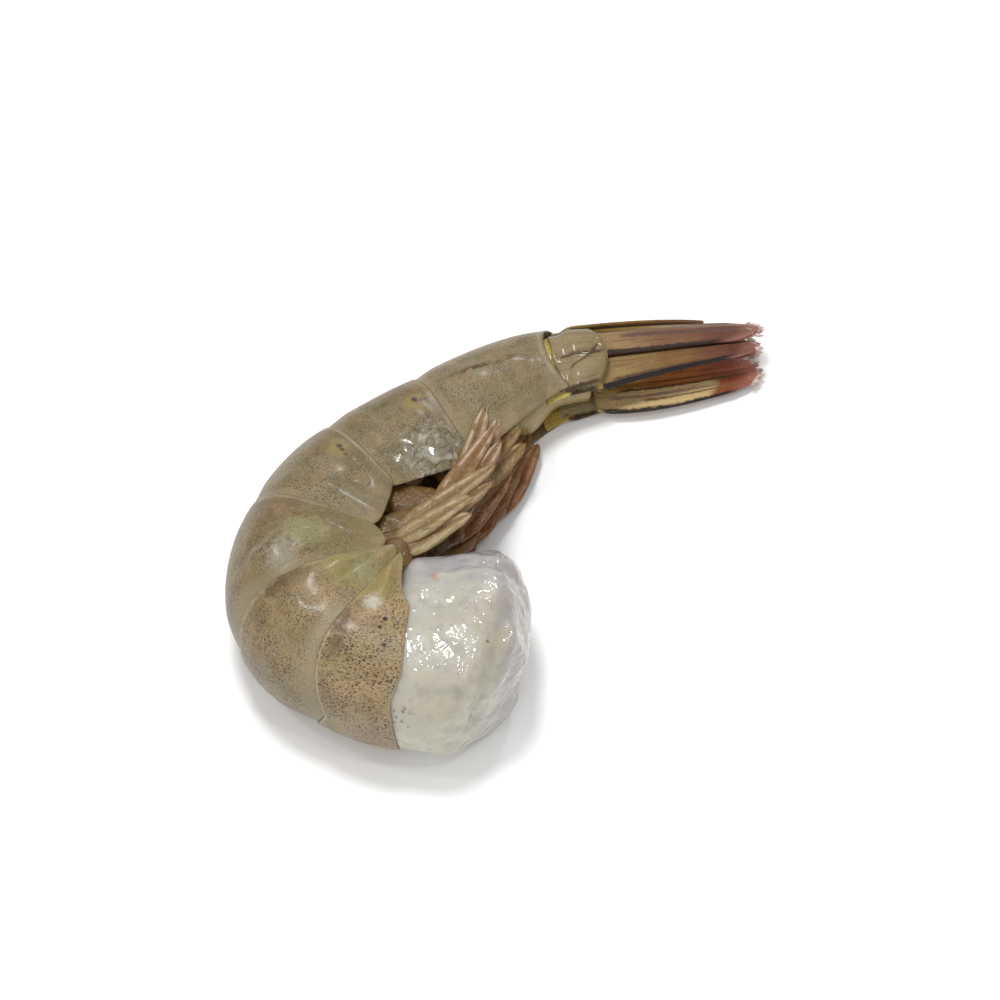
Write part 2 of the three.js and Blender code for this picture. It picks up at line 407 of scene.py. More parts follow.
# The six shell plates. Each one's front edge lies under the plate before it. A tuck is where it starts
# and how deep it is, a fold its place along the body and round the arch, its reach and its height.
plates = {
    "thickness": 0.3,
    "lap": 1.8,
    "sunk": 0.46,
    "rise": 3.2,
    "tucks": [(0.84, 0.06), (0.92, 0.08), (0.99, 0.08)],
    "columns": 52,
    "row": 0.75,
    "rim": (0.5, 0.22),
    "firstEdge": [
        (-1, 0), (-0.4, 0.2), (-0.06, 0.5), (0.24, 1), (0.39, 0.1), (0.61, -0.2), (0.78, -0.5), (0.89, 1.3),
        (1, 2),
    ],
    "folds": {
        "somite_1": [
            (18.4, 0.8, 2.4, 0.6), (19, 0.88, 2, 0.5), (20.6, 0.8, 1.4, -0.5), (20.4, 0.7, 1.6, -0.35),
        ],
        "somite_2": [
            (28.8, 0.68, 2.6, 0.6), (28.8, 0.76, 2.6, 0.8), (28.2, 0.85, 2.4, 0.6), (26, 0.5, 2.6, 0.35),
            (25.6, 0.7, 2, -0.6), (25.2, 0.78, 2, -0.6), (25.6, 0.6, 2, -0.35),
        ],
        "somite_3": [
            (33.8, 0.44, 2.2, 0.45), (34.8, 0.52, 2.2, 0.55), (36, 0.6, 2.2, 0.6), (37.4, 0.68, 2.2, 0.6),
            (38.8, 0.76, 2.4, 0.5), (36.6, 0.44, 2, -0.4), (38, 0.54, 2, -0.4), (39.8, 0.64, 2.2, -0.4),
            (33.4, 0.64, 1.8, -0.4), (34.6, 0.74, 2, -0.4),
        ],
        "somite_4": [(47, 0.7, 3, 0.35), (50, 0.82, 2.6, -0.45), (45.5, 0.5, 3, 0.25), (53, 0.72, 2.4, 0.3)],
        "somite_5": [
            (60, 0.86, 2.4, 0.5), (63, 0.93, 2.2, 0.4), (57.5, 0.75, 2.4, -0.35), (65, 0.7, 3, 0.35),
        ],
        "somite_6": [(76, 0.66, 4, 0.4), (82, 0.6, 3.6, 0.35), (72, 0.8, 3, -0.35), (86, 0.45, 3, -0.25)],
    },
    "sweeps": {
        "somite_1": 2, "somite_2": 1.6, "somite_3": 0.3, "somite_4": 0.8, "somite_5": 0.8, "somite_6": -2,
    },
}


def makePlate(name, upper):
    first = name == "somite_1"
    lap = 0 if first else plates["lap"]
    front = startOf(name) - lap
    rear = startOf(name) + lengthOf(name)
    before, after = plates["rim"]
    count = max(round((rear - front) / plates["row"]), 8)
    rows = evenly(front, rear - before, count) + [rear - after, rear]
    columns = plates["columns"]
    sheet = flatSheet(name + "_plate", 1, -1, columns, rows)

    openMesh(sheet)
    for row in rows:
        share = (row - front) / (rear - front)
        lobe = 1 - body["lobe"] * abs(2 * share - 1) ** 3
        for sign, hinge in ((1, 1), (-1, 1 + math.pi)):
            flank = lambda place: place[1] * sign > body["archShare"] + 0.001
            pick(lambda co, place: abs(place[2] - share) < 0.001 and flank(place))
            scaleFrom((hinge, 0, 0), (lobe, 1, 1))
    closeMesh()

    bulge = lambda side: math.sin(math.pi * abs(side))
    frontSweep = lambda side: plates["sweeps"].get(upper, 0) * bulge(side)
    if first:
        frontSweep = lambda side: readBetween(plates["firstEdge"], side)
    rearSweep = lambda side: plates["sweeps"][name] * bulge(side)
    sweepEdges(sheet, columns, 1, -1, front, rear, frontSweep, rearSweep)
    wrapRound(sheet, plateLattice)
    if not first:
        sinkFront(sheet, plates["sunk"], (lap, lap + plates["rise"]), rear - front)
    openMesh(sheet)
    for start, depth in plates["tucks"]:
        pick(lambda co, place: place[2] > start and co.z > 0.2)
        push(-depth)
    for s, side, radius, height in plates["folds"][name]:
        swell(s, side, radius, height)
    closeMesh()
    giveWall(sheet, plates["thickness"])
    return sheet


# The flesh: the cut end that swells out of the first plate, and a core that fills the shell.
flesh = {
    "round": 5,
    "power": 2.4,
    "slant": 7.5,
    "sunk": 1.9,
    "shallow": 0.42,
    "tail": 3.2,
    "voxel": 0.38,
    "squareness": 2.4,
    "boxyTo": (8, 14.5),
    "edge": (-0.8, 0.4),
    "covered": (2.2, 4.4),
    "rings": [0.35, 0.9, 1.7, 2.7, 4.0, 5.4, 7.0],
}


def makeRings(name, rings, vertices=48):
    deselectAll()
    bpy.ops.mesh.primitive_circle_add(vertices=vertices, radius=mm, rotation=(0, math.pi / 2, 0))
    tube = bpy.context.object
    tube.name = name
    bpy.ops.object.transform_apply(location=True, rotation=True, scale=True)
    bpy.ops.object.mode_set(mode="EDIT")
    pickAll()
    move(rings[0], 0, 0)
    for last, ring in zip(rings, rings[1:]):
        extrude((ring - last), 0, 0)
    closeMesh()
    return tube


def makeFlesh():
    end = fanStart + flesh["tail"]
    rings = [0] + flesh["rings"] + evenly(8.2, 22, 12) + evenly(24, end, 28)
    core = makeRings("flesh_core", rings)
    openMesh(core)
    for ring in rings:
        gone = 1 - min(ring / flesh["round"], 1)
        grown = max((1 - gone ** flesh["power"]) ** (1 / flesh["power"]), 0.3)
        if grown < 1:
            pick(lambda co, place: abs(co.x - ring) < 0.01)
            scaleFrom((ring, 0, 0), (1, grown, grown))
    for spoke in range(1, 12):
        if spoke == 6:
            continue
        angle = math.radians(7.5 * spoke)
        power = flesh["squareness"]
        boxier = (math.cos(angle) ** power + math.sin(angle) ** power) ** (-1 / power)
        steps = evenly(*flesh["boxyTo"], 5)
        little = boxier ** (1 / len(steps))
        onSpoke = lambda co: abs(math.atan2(abs(co.z), abs(co.y)) - angle) < 0.01
        for reach in steps:
            pick(lambda co, place: co.x < reach and onSpoke(co))
            scaleFrom((0, 0, 0), (1, little, little))
    for ring in (rings[0], rings[-1]):
        pick(lambda co, place: abs(co.x - ring) < 0.01)
        bpy.ops.mesh.edge_face_add()
    closeMesh()
    edge = [shellStart + part for part in flesh["edge"]]
    covered = [shellStart + part for part in flesh["covered"]]
    shallow, deeper = flesh["shallow"], flesh["sunk"] - flesh["shallow"]
    sunkAt = lambda s: shallow * smooth(*edge, s) + deeper * smooth(*covered, s)
    finishWith(core, "LATTICE", object=makeLattice("fleshLattice", "belly", sunkAt, flesh["slant"]))
    pressFlat(core, 0)
    openMesh(core)
    for start in evenly(*edge, 4) + evenly(*covered, 5):
        pick(lambda co, place: co.x > start and co.z < sunkAt(start))
        scaleFrom((0, 0, sunkAt(start)), (1, 1, 0))
    turnFacesOut()
    closeMesh()
    finishWith(core, "CURVE", object=hingeLine, deform_axis="POS_X")
    finishWith(core, "REMESH", mode="VOXEL", voxel_size=flesh["voxel"] * mm, use_smooth_shade=True)
    sculptKnob(core)
    return core


# Dents and swells of the cut end, in mm: place, reach, height
knobForms = [
    ((-10.5, -12.2, 13.5), 6, 1.1), ((-5, -10.8, 14), 4, 0.3), ((1.6, -11.5, 11), 6, 1.0),
    ((3.7, -16, 11), 5, 0.8), ((3.9, -23.5, 5), 4.5, -1.1), ((2.2, -26.5, 7), 3, -0.7),
    ((2.9, -11.4, 12), 1.8, -0.5), ((-1.2, -10.2, 13.5), 1.6, -0.4),
    ((1.1, -17.7, 17.3), 2.2, -0.2), ((0.7, -19, 17.7), 2.2, -0.3), ((0.4, -20.3, 18), 2.2, -0.36),
    ((0.2, -21.6, 18.2), 2.2, -0.36), ((0, -22.8, 18.3), 2.2, -0.36), ((-0.3, -24, 18.2), 2.2, -0.38),
    ((-0.6, -25.1, 17.9), 2.2, -0.38), ((-0.9, -26.1, 17.5), 2.2, -0.38), ((-1.3, -27, 16.9), 2.2, -0.38),
    ((-1.7, -27.8, 16.2), 2.2, -0.38), ((-2, -28.5, 15.3), 2.2, -0.36), ((-2.3, -29.1, 14.2), 2.2, -0.36),
    ((-2.5, -29.6, 13), 2.2, -0.34), ((-2.6, -30, 11.7), 2.2, -0.34), ((-2.7, -30.3, 10.3), 2.2, -0.3),
    ((-2.8, -30.5, 9), 2.2, -0.3), ((0.4, -28.7, 7.5), 1.8, -0.7), ((2, -22, 17.2), 1.9, 0.2),
    ((1.7, -23.4, 17), 1.9, 0.26), ((1.4, -24.6, 16.5), 1.9, 0.3), ((1, -25.6, 15.8), 1.9, 0.3),
    ((0.5, -26.5, 15), 1.9, 0.3), ((0, -27.2, 14.2), 1.9, 0.26), ((-0.5, -27.8, 13.3), 1.9, 0.2),
    ((-4.7, -29.8, 16.4), 2, -0.2), ((-5.3, -30.6, 15.2), 2, -0.22), ((-5.9, -31.3, 13.6), 2, -0.24),
    ((-6.1, -31.9, 11.6), 2, -0.24), ((-6.2, -32.3, 9.4), 2, -0.24), ((-6.2, -32.5, 7), 2, -0.24),
    ((-3.8, -31.3, 8), 2.2, 0.5), ((-6, -26.5, 18.6), 2.6, 0.35), ((-9, -24, 18.8), 2.4, 0.3),
    ((-4, -22.5, 18.8), 2.6, 0.35), ((-7.5, -20, 18.8), 2.6, -0.3), ((-2.8, -18, 18.3), 2.6, 0.3),
    ((-9.5, -17.5, 18.3), 2.4, 0.25), ((-5, -15.4, 17.6), 2.6, -0.25), ((-9, -28.5, 17.6), 2.4, 0.3),
]
# Its wet lumps: their size and height
knobLumps = [(3.8, 0.5), (1.5, 0.12)]
# They fade in away from the shell's edge along x, and from the ground up, in front of a line across y.
knobFade = {"x": (-12.5, -9), "z": (0.3, 3), "y": -8}


def sculpt(piece, forms):
    openMesh(piece)
    for centre, reach, height in forms:
        spot = Vector(centre) * mm
        pushNearest(lambda co, place: (co - spot).length_squared, reach, height)
    closeMesh()


def sculptKnob(core):
    sculpt(core, knobForms)
    finishWith(core, "SMOOTH", factor=0.5, iterations=12)
    group = core.vertex_groups.new(name="knob")
    for vert in core.data.vertices:
        x, y, z = vert.co / mm
        weight = smooth(*knobFade["x"], x) * smooth(*knobFade["z"], z) if y < knobFade["y"] else 0
        if weight > 0:
            group.add([vert.index], weight, "REPLACE")
    for size, strength in knobLumps:
        roughen(core, size, strength, "knob")
    core.vertex_groups.clear()
    finishWith(core, "SMOOTH", factor=0.5, iterations=1)
    pressFlat(core, 0)


# The skin of the belly between the side plates, with a rib for each pair of legs.
bellySkin = {
    "start": 17.5,
    "end": 91,
    "rib": 0.3,
    "ribAt": 0.6,
    "ribWide": 1.6,
    "step": 1.1,
    "wall": 0.3,
    "sunk": 1.5,
    "bulges": [((48, -6, 4), 8, 2.5), ((58, -5, 3), 8, 2.8), ((81, -3, 4), 6, 2.6), ((74, -4, 4), 6, 1.4)],
}


def makeBellySkin():
    start, end = bellySkin["start"], bellySkin["end"]
    rings = evenly(start, end, round((end - start) / bellySkin["step"]))
    skin = makeRings("belly_skin", rings)
    openMesh(skin)
    pick(lambda co, place: co.y > 0.2)
    bpy.ops.mesh.delete(type="VERT")
    closeMesh()
    finishWith(skin, "LATTICE", object=makeLattice("skinLattice", "belly", lambda s: bellySkin["sunk"]))
    pressFlat(skin, bellySkin["sunk"])
    openMesh(skin)
    turnFacesOut()
    for name in [f"somite_{index}" for index in range(1, 6)]:
        middle = startOf(name) + bellySkin["ribAt"] * lengthOf(name)
        for ring in rings:
            height = bellySkin["rib"] * math.exp(-(((ring - middle) / bellySkin["ribWide"]) ** 2))
            if height > 0.02:
                pick(lambda co, place: abs(co.x - ring) < 0.05 and co.y < 0)
                push(height)
    closeMesh()
    sculpt(skin, bellySkin["bulges"])
    giveWall(skin, bellySkin["wall"])
    pressFlat(skin, softLevel)
    return skin


# The tail fan, from the top layer down. Sides are places round the arch. Taper is how much narrower a
# plate's end is, tip how far its corners draw back, and under how far its root runs under the body. Bent is
# how far a blade's far side closes in towards its tip, and how far it spreads in between.
fan = {
    "wall": 0.42,
    "layer": 0.9,
    "columns": 20,
    "row": 0.7,
    "rootSunk": 0.7,
    "bent": {"exopod_left": (0.3, 0), "exopod_right": (0, 0.3)},
    "telson": {
        "from": 0.9, "to": 19.5, "near": -0.22, "far": 0.22,
        "layer": 0, "taper": 0.93, "tip": 0, "under": 1.6,
    },
    "protopod": {
        "from": 0.5, "to": 5.6, "near": 0.28, "far": 0.98,
        "layer": 0, "taper": 0.1, "tip": 1.6, "under": 1.8,
    },
    "endopod": {
        "from": 6.2, "to": 26, "near": 0.14, "far": 0.6,
        "layer": 1, "taper": 0.25, "tip": 3, "under": 2.6,
    },
    "exopod": {
        "from": 6.2, "to": 25.6, "near": 0.46, "far": 1,
        "layer": 2, "taper": 0.1, "tip": 2, "under": 2.6,
    },
}
fanLattices = []
for index in range(3):
    fanLattices.append(makeLattice(f"fanLattice{index}", "flank", lambda s: fan["layer"] * index))


def makeFanPlate(name, kind, sign):
    form = fan[kind]
    rise, spread = fan["bent"].get(name, (0, 0))
    near, far = sign * form["near"], sign * form["far"]
    left, right = max(near, far), min(near, far)
    front, rear = fanStart + form["from"] - form["under"], fanStart + form["to"]
    columns = fan["columns"]
    rows = evenly(front, rear, max(round((rear - front) / fan["row"]), 8))
    sheet = flatSheet(name + "_plate", left, right, columns, rows)
    span = abs(far - near)
    across = lambda side: abs(side - near) / span
    drawnBack = lambda side: -form["tip"] * abs(2 * across(side) - 1) ** 2.5
    sweepEdges(sheet, columns, left, right, front, rear, lambda side: 0, drawnBack)
    openMesh(sheet)
    for row in rows:
        share = (row - front) / (rear - front)
        narrow = 1 - form["taper"] * share * share
        climb = (form["far"] * (1 - rise * share) - form["near"]) / (form["far"] - form["near"])
        climb += spread * math.sin(math.pi * share**0.8)
        pick(lambda co, place: abs(place[2] - share) < 0.001)
        middle = roundPlace((near + far) / 2)
        scaleFrom((middle, 0, 0), (narrow, 1, 1))
        scaleFrom((roundPlace(near), 0, 0), (climb, 1, 1))
    closeMesh()
    wrapRound(sheet, fanLattices[form["layer"]])
    if form["layer"] == 0:
        sinkFront(sheet, fan["rootSunk"], (form["under"] - 0.3, form["under"] + 0.6), rear - front)
    openMesh(sheet)
    shapeFanPlate(kind, across)
    if name == "protopod_left":
        foldProtopod()
    closeMesh()
    giveWall(sheet, fan["wall"])
    pressFlat(sheet, 0)
    return sheet


# Ridges and grooves that run along a fan plate: how far across, how wide, how high
fanRelief = {
    "telson": [(0.5, 0.03, -0.3), (0.32, 0.06, 0.16), (0.68, 0.06, 0.16)],
    "protopod": [(0.42, 0.03, -0.3), (0.42, 0.1, -0.2), (0.2, 0.1, 0.2), (0.72, 0.14, 0.28)],
    "endopod": [(0.45, 0.03, 0.22), (0.45, 0.1, 0.12), (0.65, 0.04, -0.14), (0.02, 0.05, 0.12)],
    "exopod": [(0.3, 0.03, 0.2), (0.3, 0.09, 0.1), (0.14, 0.04, -0.12), (1.0, 0.04, 0.16)],
}


# The fold across the left protopod, which parts its upper lobe from the oval one below: where the side
# is offset less slope times the place along the body
protopodFold = {"slope": 0.055, "offset": 5.6185, "reach": (88.6, 92.8), "deep": 0.22, "lobe": 0.16}


def nearFold(place, low, high):
    past = place[1] + protopodFold["slope"] * place[0] - protopodFold["offset"]
    first, last = protopodFold["reach"]
    return low < past < high and first < place[0] < last


def foldProtopod():
    pick(lambda co, place: nearFold(place, -0.025, 0.025))
    push(-protopodFold["deep"])
    pick(lambda co, place: nearFold(place, 0.04, 0.3))
    push(protopodFold["lobe"])


def shapeFanPlate(kind, across):
    for where, wide, height in fanRelief[kind]:
        pick(lambda co, place: abs(across(place[1]) - where) < wide and 0.04 < place[2] < 0.96)
        push(height)


# The soft skin of the tail joint, which shows between the last shell plate and the fan
tailSkin = {"from": -4, "to": 4.4, "sunk": 1.3, "rows": 16, "columns": 40, "crease": 0.14, "wall": 0.25}


def makeTailSkin():
    front, rear = fanStart + tailSkin["from"], fanStart + tailSkin["to"]
    rows = evenly(front, rear, tailSkin["rows"])
    sheet = flatSheet("tail_skin", 1, -1, tailSkin["columns"], rows)
    wrapRound(sheet, makeLattice("tailLattice", "flank", lambda s: tailSkin["sunk"]))
    openMesh(sheet)
    for share in evenly(0.1, 0.9, 6):
        pick(lambda co, place: abs(place[2] - share) < 0.04)
        push(tailSkin["crease"])
    closeMesh()
    giveWall(sheet, tailSkin["wall"])
    return sheet


# A bristle is a thin cone. Its radii and length are in mm.
def makeBristle(radius, point, length, location, rotation):
    deselectAll()
    sizes = {"radius1": radius * mm, "radius2": point * mm, "depth": length * mm}
    bpy.ops.mesh.primitive_cone_add(vertices=5, location=location, rotation=rotation, **sizes)
    return bpy.context.object


# The frayed bristles at the fan's tips: which plate, from and to round the arch, which side, how many
fringe = [
    ("endopod", 0.16, 0.55, 1, 16),
    ("exopod", 0.5, 0.66, 1, 10),
    ("endopod", 0.16, 0.56, -1, 22),
    ("exopod", 0.48, 0.95, -1, 26),
]
# Each bristle's own figures are drawn between two: it starts inside the edge, turns and tilts a little.
fringeRange = {
    "length": (0.8, 1.6),
    "inside": (0.2, 0.6),
    "turn": (-0.35, 0.35),
    "radius": (0.25, 0.55),
    "tilt": (-0.2, 0.2),
}


def makeFringe():
    chance = random.Random(4)
    bristles = []
    for kind, near, far, sign, count in fringe:
        form = fan[kind]
        for index in range(count):
            side = sign * (near + (far - near) * (index + chance.random()) / count)
            across = (abs(side) - form["near"]) / (form["far"] - form["near"])
            end = fanStart + form["to"] - form["tip"] * abs(2 * across - 1) ** 2.5
            length = chance.uniform(*fringeRange["length"])
            start = end - chance.uniform(*fringeRange["inside"])
            root = onArch(start, side * 0.98, fan["layer"] * form["layer"] + 0.2)
            heading = hingeAt(end)[2] + chance.uniform(*fringeRange["turn"])
            away = Vector((math.cos(heading), math.sin(heading), 0)) * length / 2
            radius = chance.uniform(*fringeRange["radius"])
            rotation = (0, math.pi / 2 + chance.uniform(*fringeRange["tilt"]), heading)
            bristles.append(makeBristle(radius, 0.03, length, (root + away) * mm, rotation))
    tuft = joinTogether(bristles, "tail_fringe")
    bpy.ops.object.transform_apply(location=True, rotation=True, scale=True)
    roundOff(tuft, 1)
    pressFlat(tuft, softLevel)
    return tuft


# The swimming legs. Each is a stalk that bends at the knee into two flat blades that are folded back.
# at is a share along the somite, apart a share of the half width, and headings are seen from above.
# The blades start under the stalk's end, and the lower one ends shorter. Wrinkles are a size and a height.
legs = {
    "gap": 0.7,
    "bend": 1.3,
    "rows": 24,
    "columns": 12,
    "skin": 0.16,
    "under": 1.6,
    "shorter": 1.4,
    "upper": {"wide": 3.1, "aside": 0.8, "lift": 0.14, "tilt": 0.12},
    "lower": {"wide": 3.0, "aside": -0.9, "lift": -0.2, "tilt": -0.16},
    "stalkWide": 4.6,
    "stalkThick": 2.0,
    "stalkRow": 0.7,
    "stalkPast": 0.6,
    "wrinkles": (1.5, 0.9),
    "bristlesInside": 0.5,
    "bristles": {"wide": 1.2, "aside": 0.8, "lift": 0.14, "count": 3},
}
legFigures = ("at", "apart", "stalkHeading", "stalk", "heading", "blade", "rise")
legShapes = {
    "pleopod_1_left": (1.2, 0.58, 67, 5.5, 35, 11.3, 0),
    "pleopod_1_right": (1.5, 0.37, 56, 10.5, 38, 8.6, 1),
    "pleopod_2_left": (1.05, 0.45, 44, 7.1, 40, 15.3, 0),
    "pleopod_2_right": (1.05, 0.62, 39, 10.6, 39, 9.5, -1),
    "pleopod_3_left": (0.72, 0.42, 22, 11.0, 57, 14.4, 4),
    "pleopod_3_right": (0.72, 0.14, 23, 12.5, 55, 12.4, 0),
    "pleopod_4_left": (0.72, 0.44, -9, 10.2, 74, 13.7, 10),
    "pleopod_4_right": (0.72, 0.35, -16, 10.3, 62, 15.0, 0),
    "pleopod_5_left": (0.72, 0.46, -51, 6.2, 52, 10.0, -2),
    "pleopod_5_right": (0.72, 0.5, -42, 8.3, 65, 13.1, -1),
}


def drawLeg(name, somite, sign, leg):
    s = startOf(somite) + lengthOf(somite) * leg["at"]
    depth = girthAt(s, "belly") * math.sqrt(1 - leg["apart"] ** 2) + legs["gap"]
    root = onBody(s, -depth, sign * leg["apart"] * girthAt(s, "half"))
    turn = math.radians(leg["heading"] - leg["stalkHeading"])
    bendLength = max(abs(turn) * legs["bend"], 0.001)
    whole = leg["stalk"] + bendLength + leg["blade"]
    start = math.radians(leg["stalkHeading"])
    points = []
    for along in evenly(0, whole, 60):
        now = start + turn * min(max((along - leg["stalk"]) / bendLength, 0), 1)
        run = min(along, leg["stalk"])
        rest = max(along - leg["stalk"] - bendLength, 0)
        bend = legs["bend"] * math.copysign(1, turn)
        points.append((
            root.x + math.cos(start) * run + (math.sin(now) - math.sin(start)) * bend + math.cos(now) * rest,
            root.y + math.sin(start) * run + (math.cos(start) - math.cos(now)) * bend + math.sin(now) * rest,
            root.z + math.sin(math.radians(leg["rise"])) * rest,
        ))
    return drawLine(name + "_line", points), leg["stalk"] + bendLength, whole


# Across a blade: where each column lies, and how high. Two wet folds run side by side along it.
bladeSection = [
    (-1, -0.03), (-0.92, 0.09), (-0.74, 0.16), (-0.5, 0.13), (-0.3, 0.08), (-0.14, 0.02), (0, -0.02),
    (0.12, 0.02), (0.28, 0.1), (0.48, 0.17), (0.7, 0.13), (0.9, 0.08), (1, -0.03),
]


def makeBlade(start, end, wide, aside, lift, tilt, seed):
    chance = random.Random(seed)
    rows, columns = legs["rows"], legs["columns"]
    deselectAll()
    bpy.ops.mesh.primitive_grid_add(x_subdivisions=rows, y_subdivisions=columns, size=1)
    blade = bpy.context.object
    place = givePlace(blade)
    for vert, value in zip(blade.data.vertices, place.data):
        value.vector = (seed % 10, 2 * vert.co.y, vert.co.x + 0.5)
    bpy.ops.object.mode_set(mode="EDIT")
    bpy.ops.transform.resize(value=((end - start) * mm, 2 * mm, 1))
    move((start + end) / 2, 0, 0)
    for column, (across, height) in enumerate(bladeSection):
        before = 2 * column / columns - 1
        frayed = 1 - chance.uniform(0, 0.07) - 0.03 * across * across
        pick(lambda co, place: abs(place[1] - before) < 0.01)
        move(0, (across - before), height)
        scaleFrom((start, 0, 0), (frayed, 1, 1))
    swing = chance.uniform(0, 6)
    for row in range(rows + 1):
        share = row / rows
        taper = 0.4 * smooth(0.45, 0.95, share) + 0.4 * smooth(0.88, 1.02, share)
        width = (0.45 + 0.55 * smooth(0, 0.35, share) - taper) * wide / 2
        relief = 0.35 + 0.65 * smooth(0, 0.25, share) - 0.3 * smooth(0.8, 1, share)
        pick(lambda co, place: abs(place[2] - share) < 0.001)
        scaleFrom((0, 0, 0), (1, width, relief))
        sway = 0.16 * math.sin(share * 4.2 + swing) * share
        move(0, sway, 0.1 * math.sin(share * 7 + swing))
    pickAll()
    bpy.ops.transform.rotate(value=tilt, orient_axis="X", center_override=(0, 0, 0))
    move(0, aside, lift)
    closeMesh()
    finishWith(blade, "SOLIDIFY", thickness=legs["skin"] * mm, offset=0)
    return blade


# Wet bristles past a blade's end, stuck together in a few points
def makeBristles(start, wide, aside, lift, count, seed):
    chance = random.Random(seed)
    bristles = []
    for index in range(count):
        length = chance.uniform(0.6, 1.3)
        across = (index + 0.5) / count - 0.5
        radius = chance.uniform(0.1, 0.2)
        tilt, swing = chance.uniform(-0.12, 0.12), chance.uniform(-0.1, 0.1)
        rotation = (tilt, math.pi / 2, across * 0.4 + swing)
        bristle = makeBristle(radius, 0.02, length, (0, 0, 0), rotation)
        bpy.ops.object.transform_apply(location=True, rotation=True, scale=True)
        bpy.ops.object.mode_set(mode="EDIT")
        begin = start - chance.uniform(0.3, 0.8) + length / 2
        move(begin, (aside + across * wide), lift)
        closeMesh()
        givePlace(bristle)
        bristles.append(bristle)
    return bristles


def makeStalk(end):
    deselectAll()
    upright = (0, math.pi / 2, 0)
    bpy.ops.mesh.primitive_circle_add(vertices=12, radius=0.5 * mm, rotation=upright, fill_type="NGON")
    stalk = bpy.context.object
    bpy.ops.object.transform_apply(rotation=True)
    givePlace(stalk)
    bpy.ops.object.mode_set(mode="EDIT")
    pickAll()
    bpy.ops.transform.resize(value=(1, legs["stalkWide"], legs["stalkThick"]))
    count = max(round(end / legs["stalkRow"]), 4)
    girths = [0.7 + 0.42 * math.sin(math.pi * share**0.7) for share in evenly(0, 1, count)]
    girths[-1] *= 0.8
    bpy.ops.transform.resize(value=(1, girths[0], girths[0]))
    for step in range(count):
        extrude(end / count, 0, 0)
        share = (step + 1) / count
        swollen = girths[step + 1] / girths[step]
        scaleFrom((end * share, 0, 0), (1, swollen, swollen))
    closeMesh()
    finishWith(stalk, "SUBSURF", levels=1, render_levels=1)
    roughen(stalk, *legs["wrinkles"])
    return stalk


def makeLeg(name):
    pair, label = name.split("_")[1:]
    sign = 1 if label == "left" else -1
    shape = dict(zip(legFigures, legShapes[name]))
    line, bladeStart, whole = drawLeg(name, "somite_" + pair, sign, shape)
    seed = int(pair) * 2 + (sign < 0)
    root = bladeStart - legs["under"]
    parts = [
        makeBlade(root, whole, seed=seed, **legs["upper"]),
        makeBlade(root, whole - legs["shorter"], seed=seed + 20, **legs["lower"]),
        makeStalk(bladeStart + legs["stalkPast"]),
        *makeBristles(whole - legs["bristlesInside"], seed=seed + 40, **legs["bristles"]),
    ]
    leg = joinTogether(parts, name + "_leg")
    finishWith(leg, "CURVE", object=line, deform_axis="POS_X")
    roundOff(leg, 1)
    pressFlat(leg, softLevel)
    bpy.data.objects.remove(line)
    return leg


# Colours are named by how they look on screen, 0 to 255, in the light of this scene.
brightness = 1.38


def tone(red, green, blue):
    linear = lambda part: part / 255 / 12.92 if part < 10.3 else ((part / 255 + 0.055) / 1.055) ** 2.4
    return (linear(red) / brightness, linear(green) / brightness, linear(blue) / brightness, 1)


# The node tree that is being built: a shared group's, or a finish's
built = {"tree": None}


# A node's inputs are given by name or number: a socket is linked, and anything else is its value.
def setInputs(node, inputs):
    for name, value in inputs.items():
        if isinstance(value, bpy.types.NodeSocket):
            built["tree"].links.new(value, node.inputs[name])
        else:
            node.inputs[name].default_value = value


def place(kind, inputs, **settings):
    node = built["tree"].nodes.new("ShaderNode" + kind)
    for name, value in settings.items():
        setattr(node, name, value)
    setInputs(node, inputs)
    return node.outputs


def blend(factor, under, over, how="MIX"):
    given = lambda shade: tone(*shade) if isinstance(shade, tuple) and len(shade) == 3 else shade
    inputs = {0: factor, 6: given(under), 7: given(over)}
    return place("Mix", inputs, data_type="RGBA", blend_type=how, clamp_factor=True)[2]


# Lays coats over a colour: each is a mask and a shade.
def paint(colour, *coats):
    for mask, shade in coats:
        colour = blend(mask, colour, shade)
    return colour


def figure(operation, first, second=0.0, third=0.0):
    return place("Math", {0: first, 1: second, 2: third}, operation=operation)[0]


def product(*factors):
    result = factors[0]
    for factor in factors[1:]:
        result = figure("MULTIPLY", result, factor)
    return result


def fade(value, start, end, low=0.0, high=1.0):
    inputs = {"Value": value, "From Min": start, "From Max": end, "To Min": low, "To Max": high}
    return place("MapRange", inputs, interpolation_type="SMOOTHSTEP")[0]


# A band between two values, soft by edge on both sides
def band(value, start, end, edge):
    return product(fade(value, start - edge, start + edge), fade(value, end + edge, end - edge))


# The size is in mm, as a number or from a node.
def noise(vector, size, detail=2.0, **more):
    given = isinstance(size, bpy.types.NodeSocket)
    scale = figure("DIVIDE", 1 / mm, size) if given else 1 / (size * mm)
    return place("TexNoise", {"Vector": vector, "Scale": scale, "Detail": detail, **more})[0]


def separate(vector):
    return place("SeparateXYZ", {0: vector})


def combine(x, y):
    return place("CombineXYZ", {0: x, 1: y})[0]


def newGroup(name, result, vectors, **values):
    group = bpy.data.node_groups.new(name, "ShaderNodeTree")
    built["tree"] = group
    for label in vectors:
        group.interface.new_socket(label, in_out="INPUT", socket_type="NodeSocketVector")
    for label, value in values.items():
        socket = group.interface.new_socket(label, in_out="INPUT", socket_type="NodeSocketFloat")
        socket.default_value = value
    group.interface.new_socket(result, in_out="OUTPUT", socket_type="NodeSocketFloat")
    start = group.nodes.new("NodeGroupInput").outputs
    return group, start, group.nodes.new("NodeGroupOutput")


def useGroup(group, *values):
    return place("Group", dict(enumerate(values)), node_tree=group)[0]


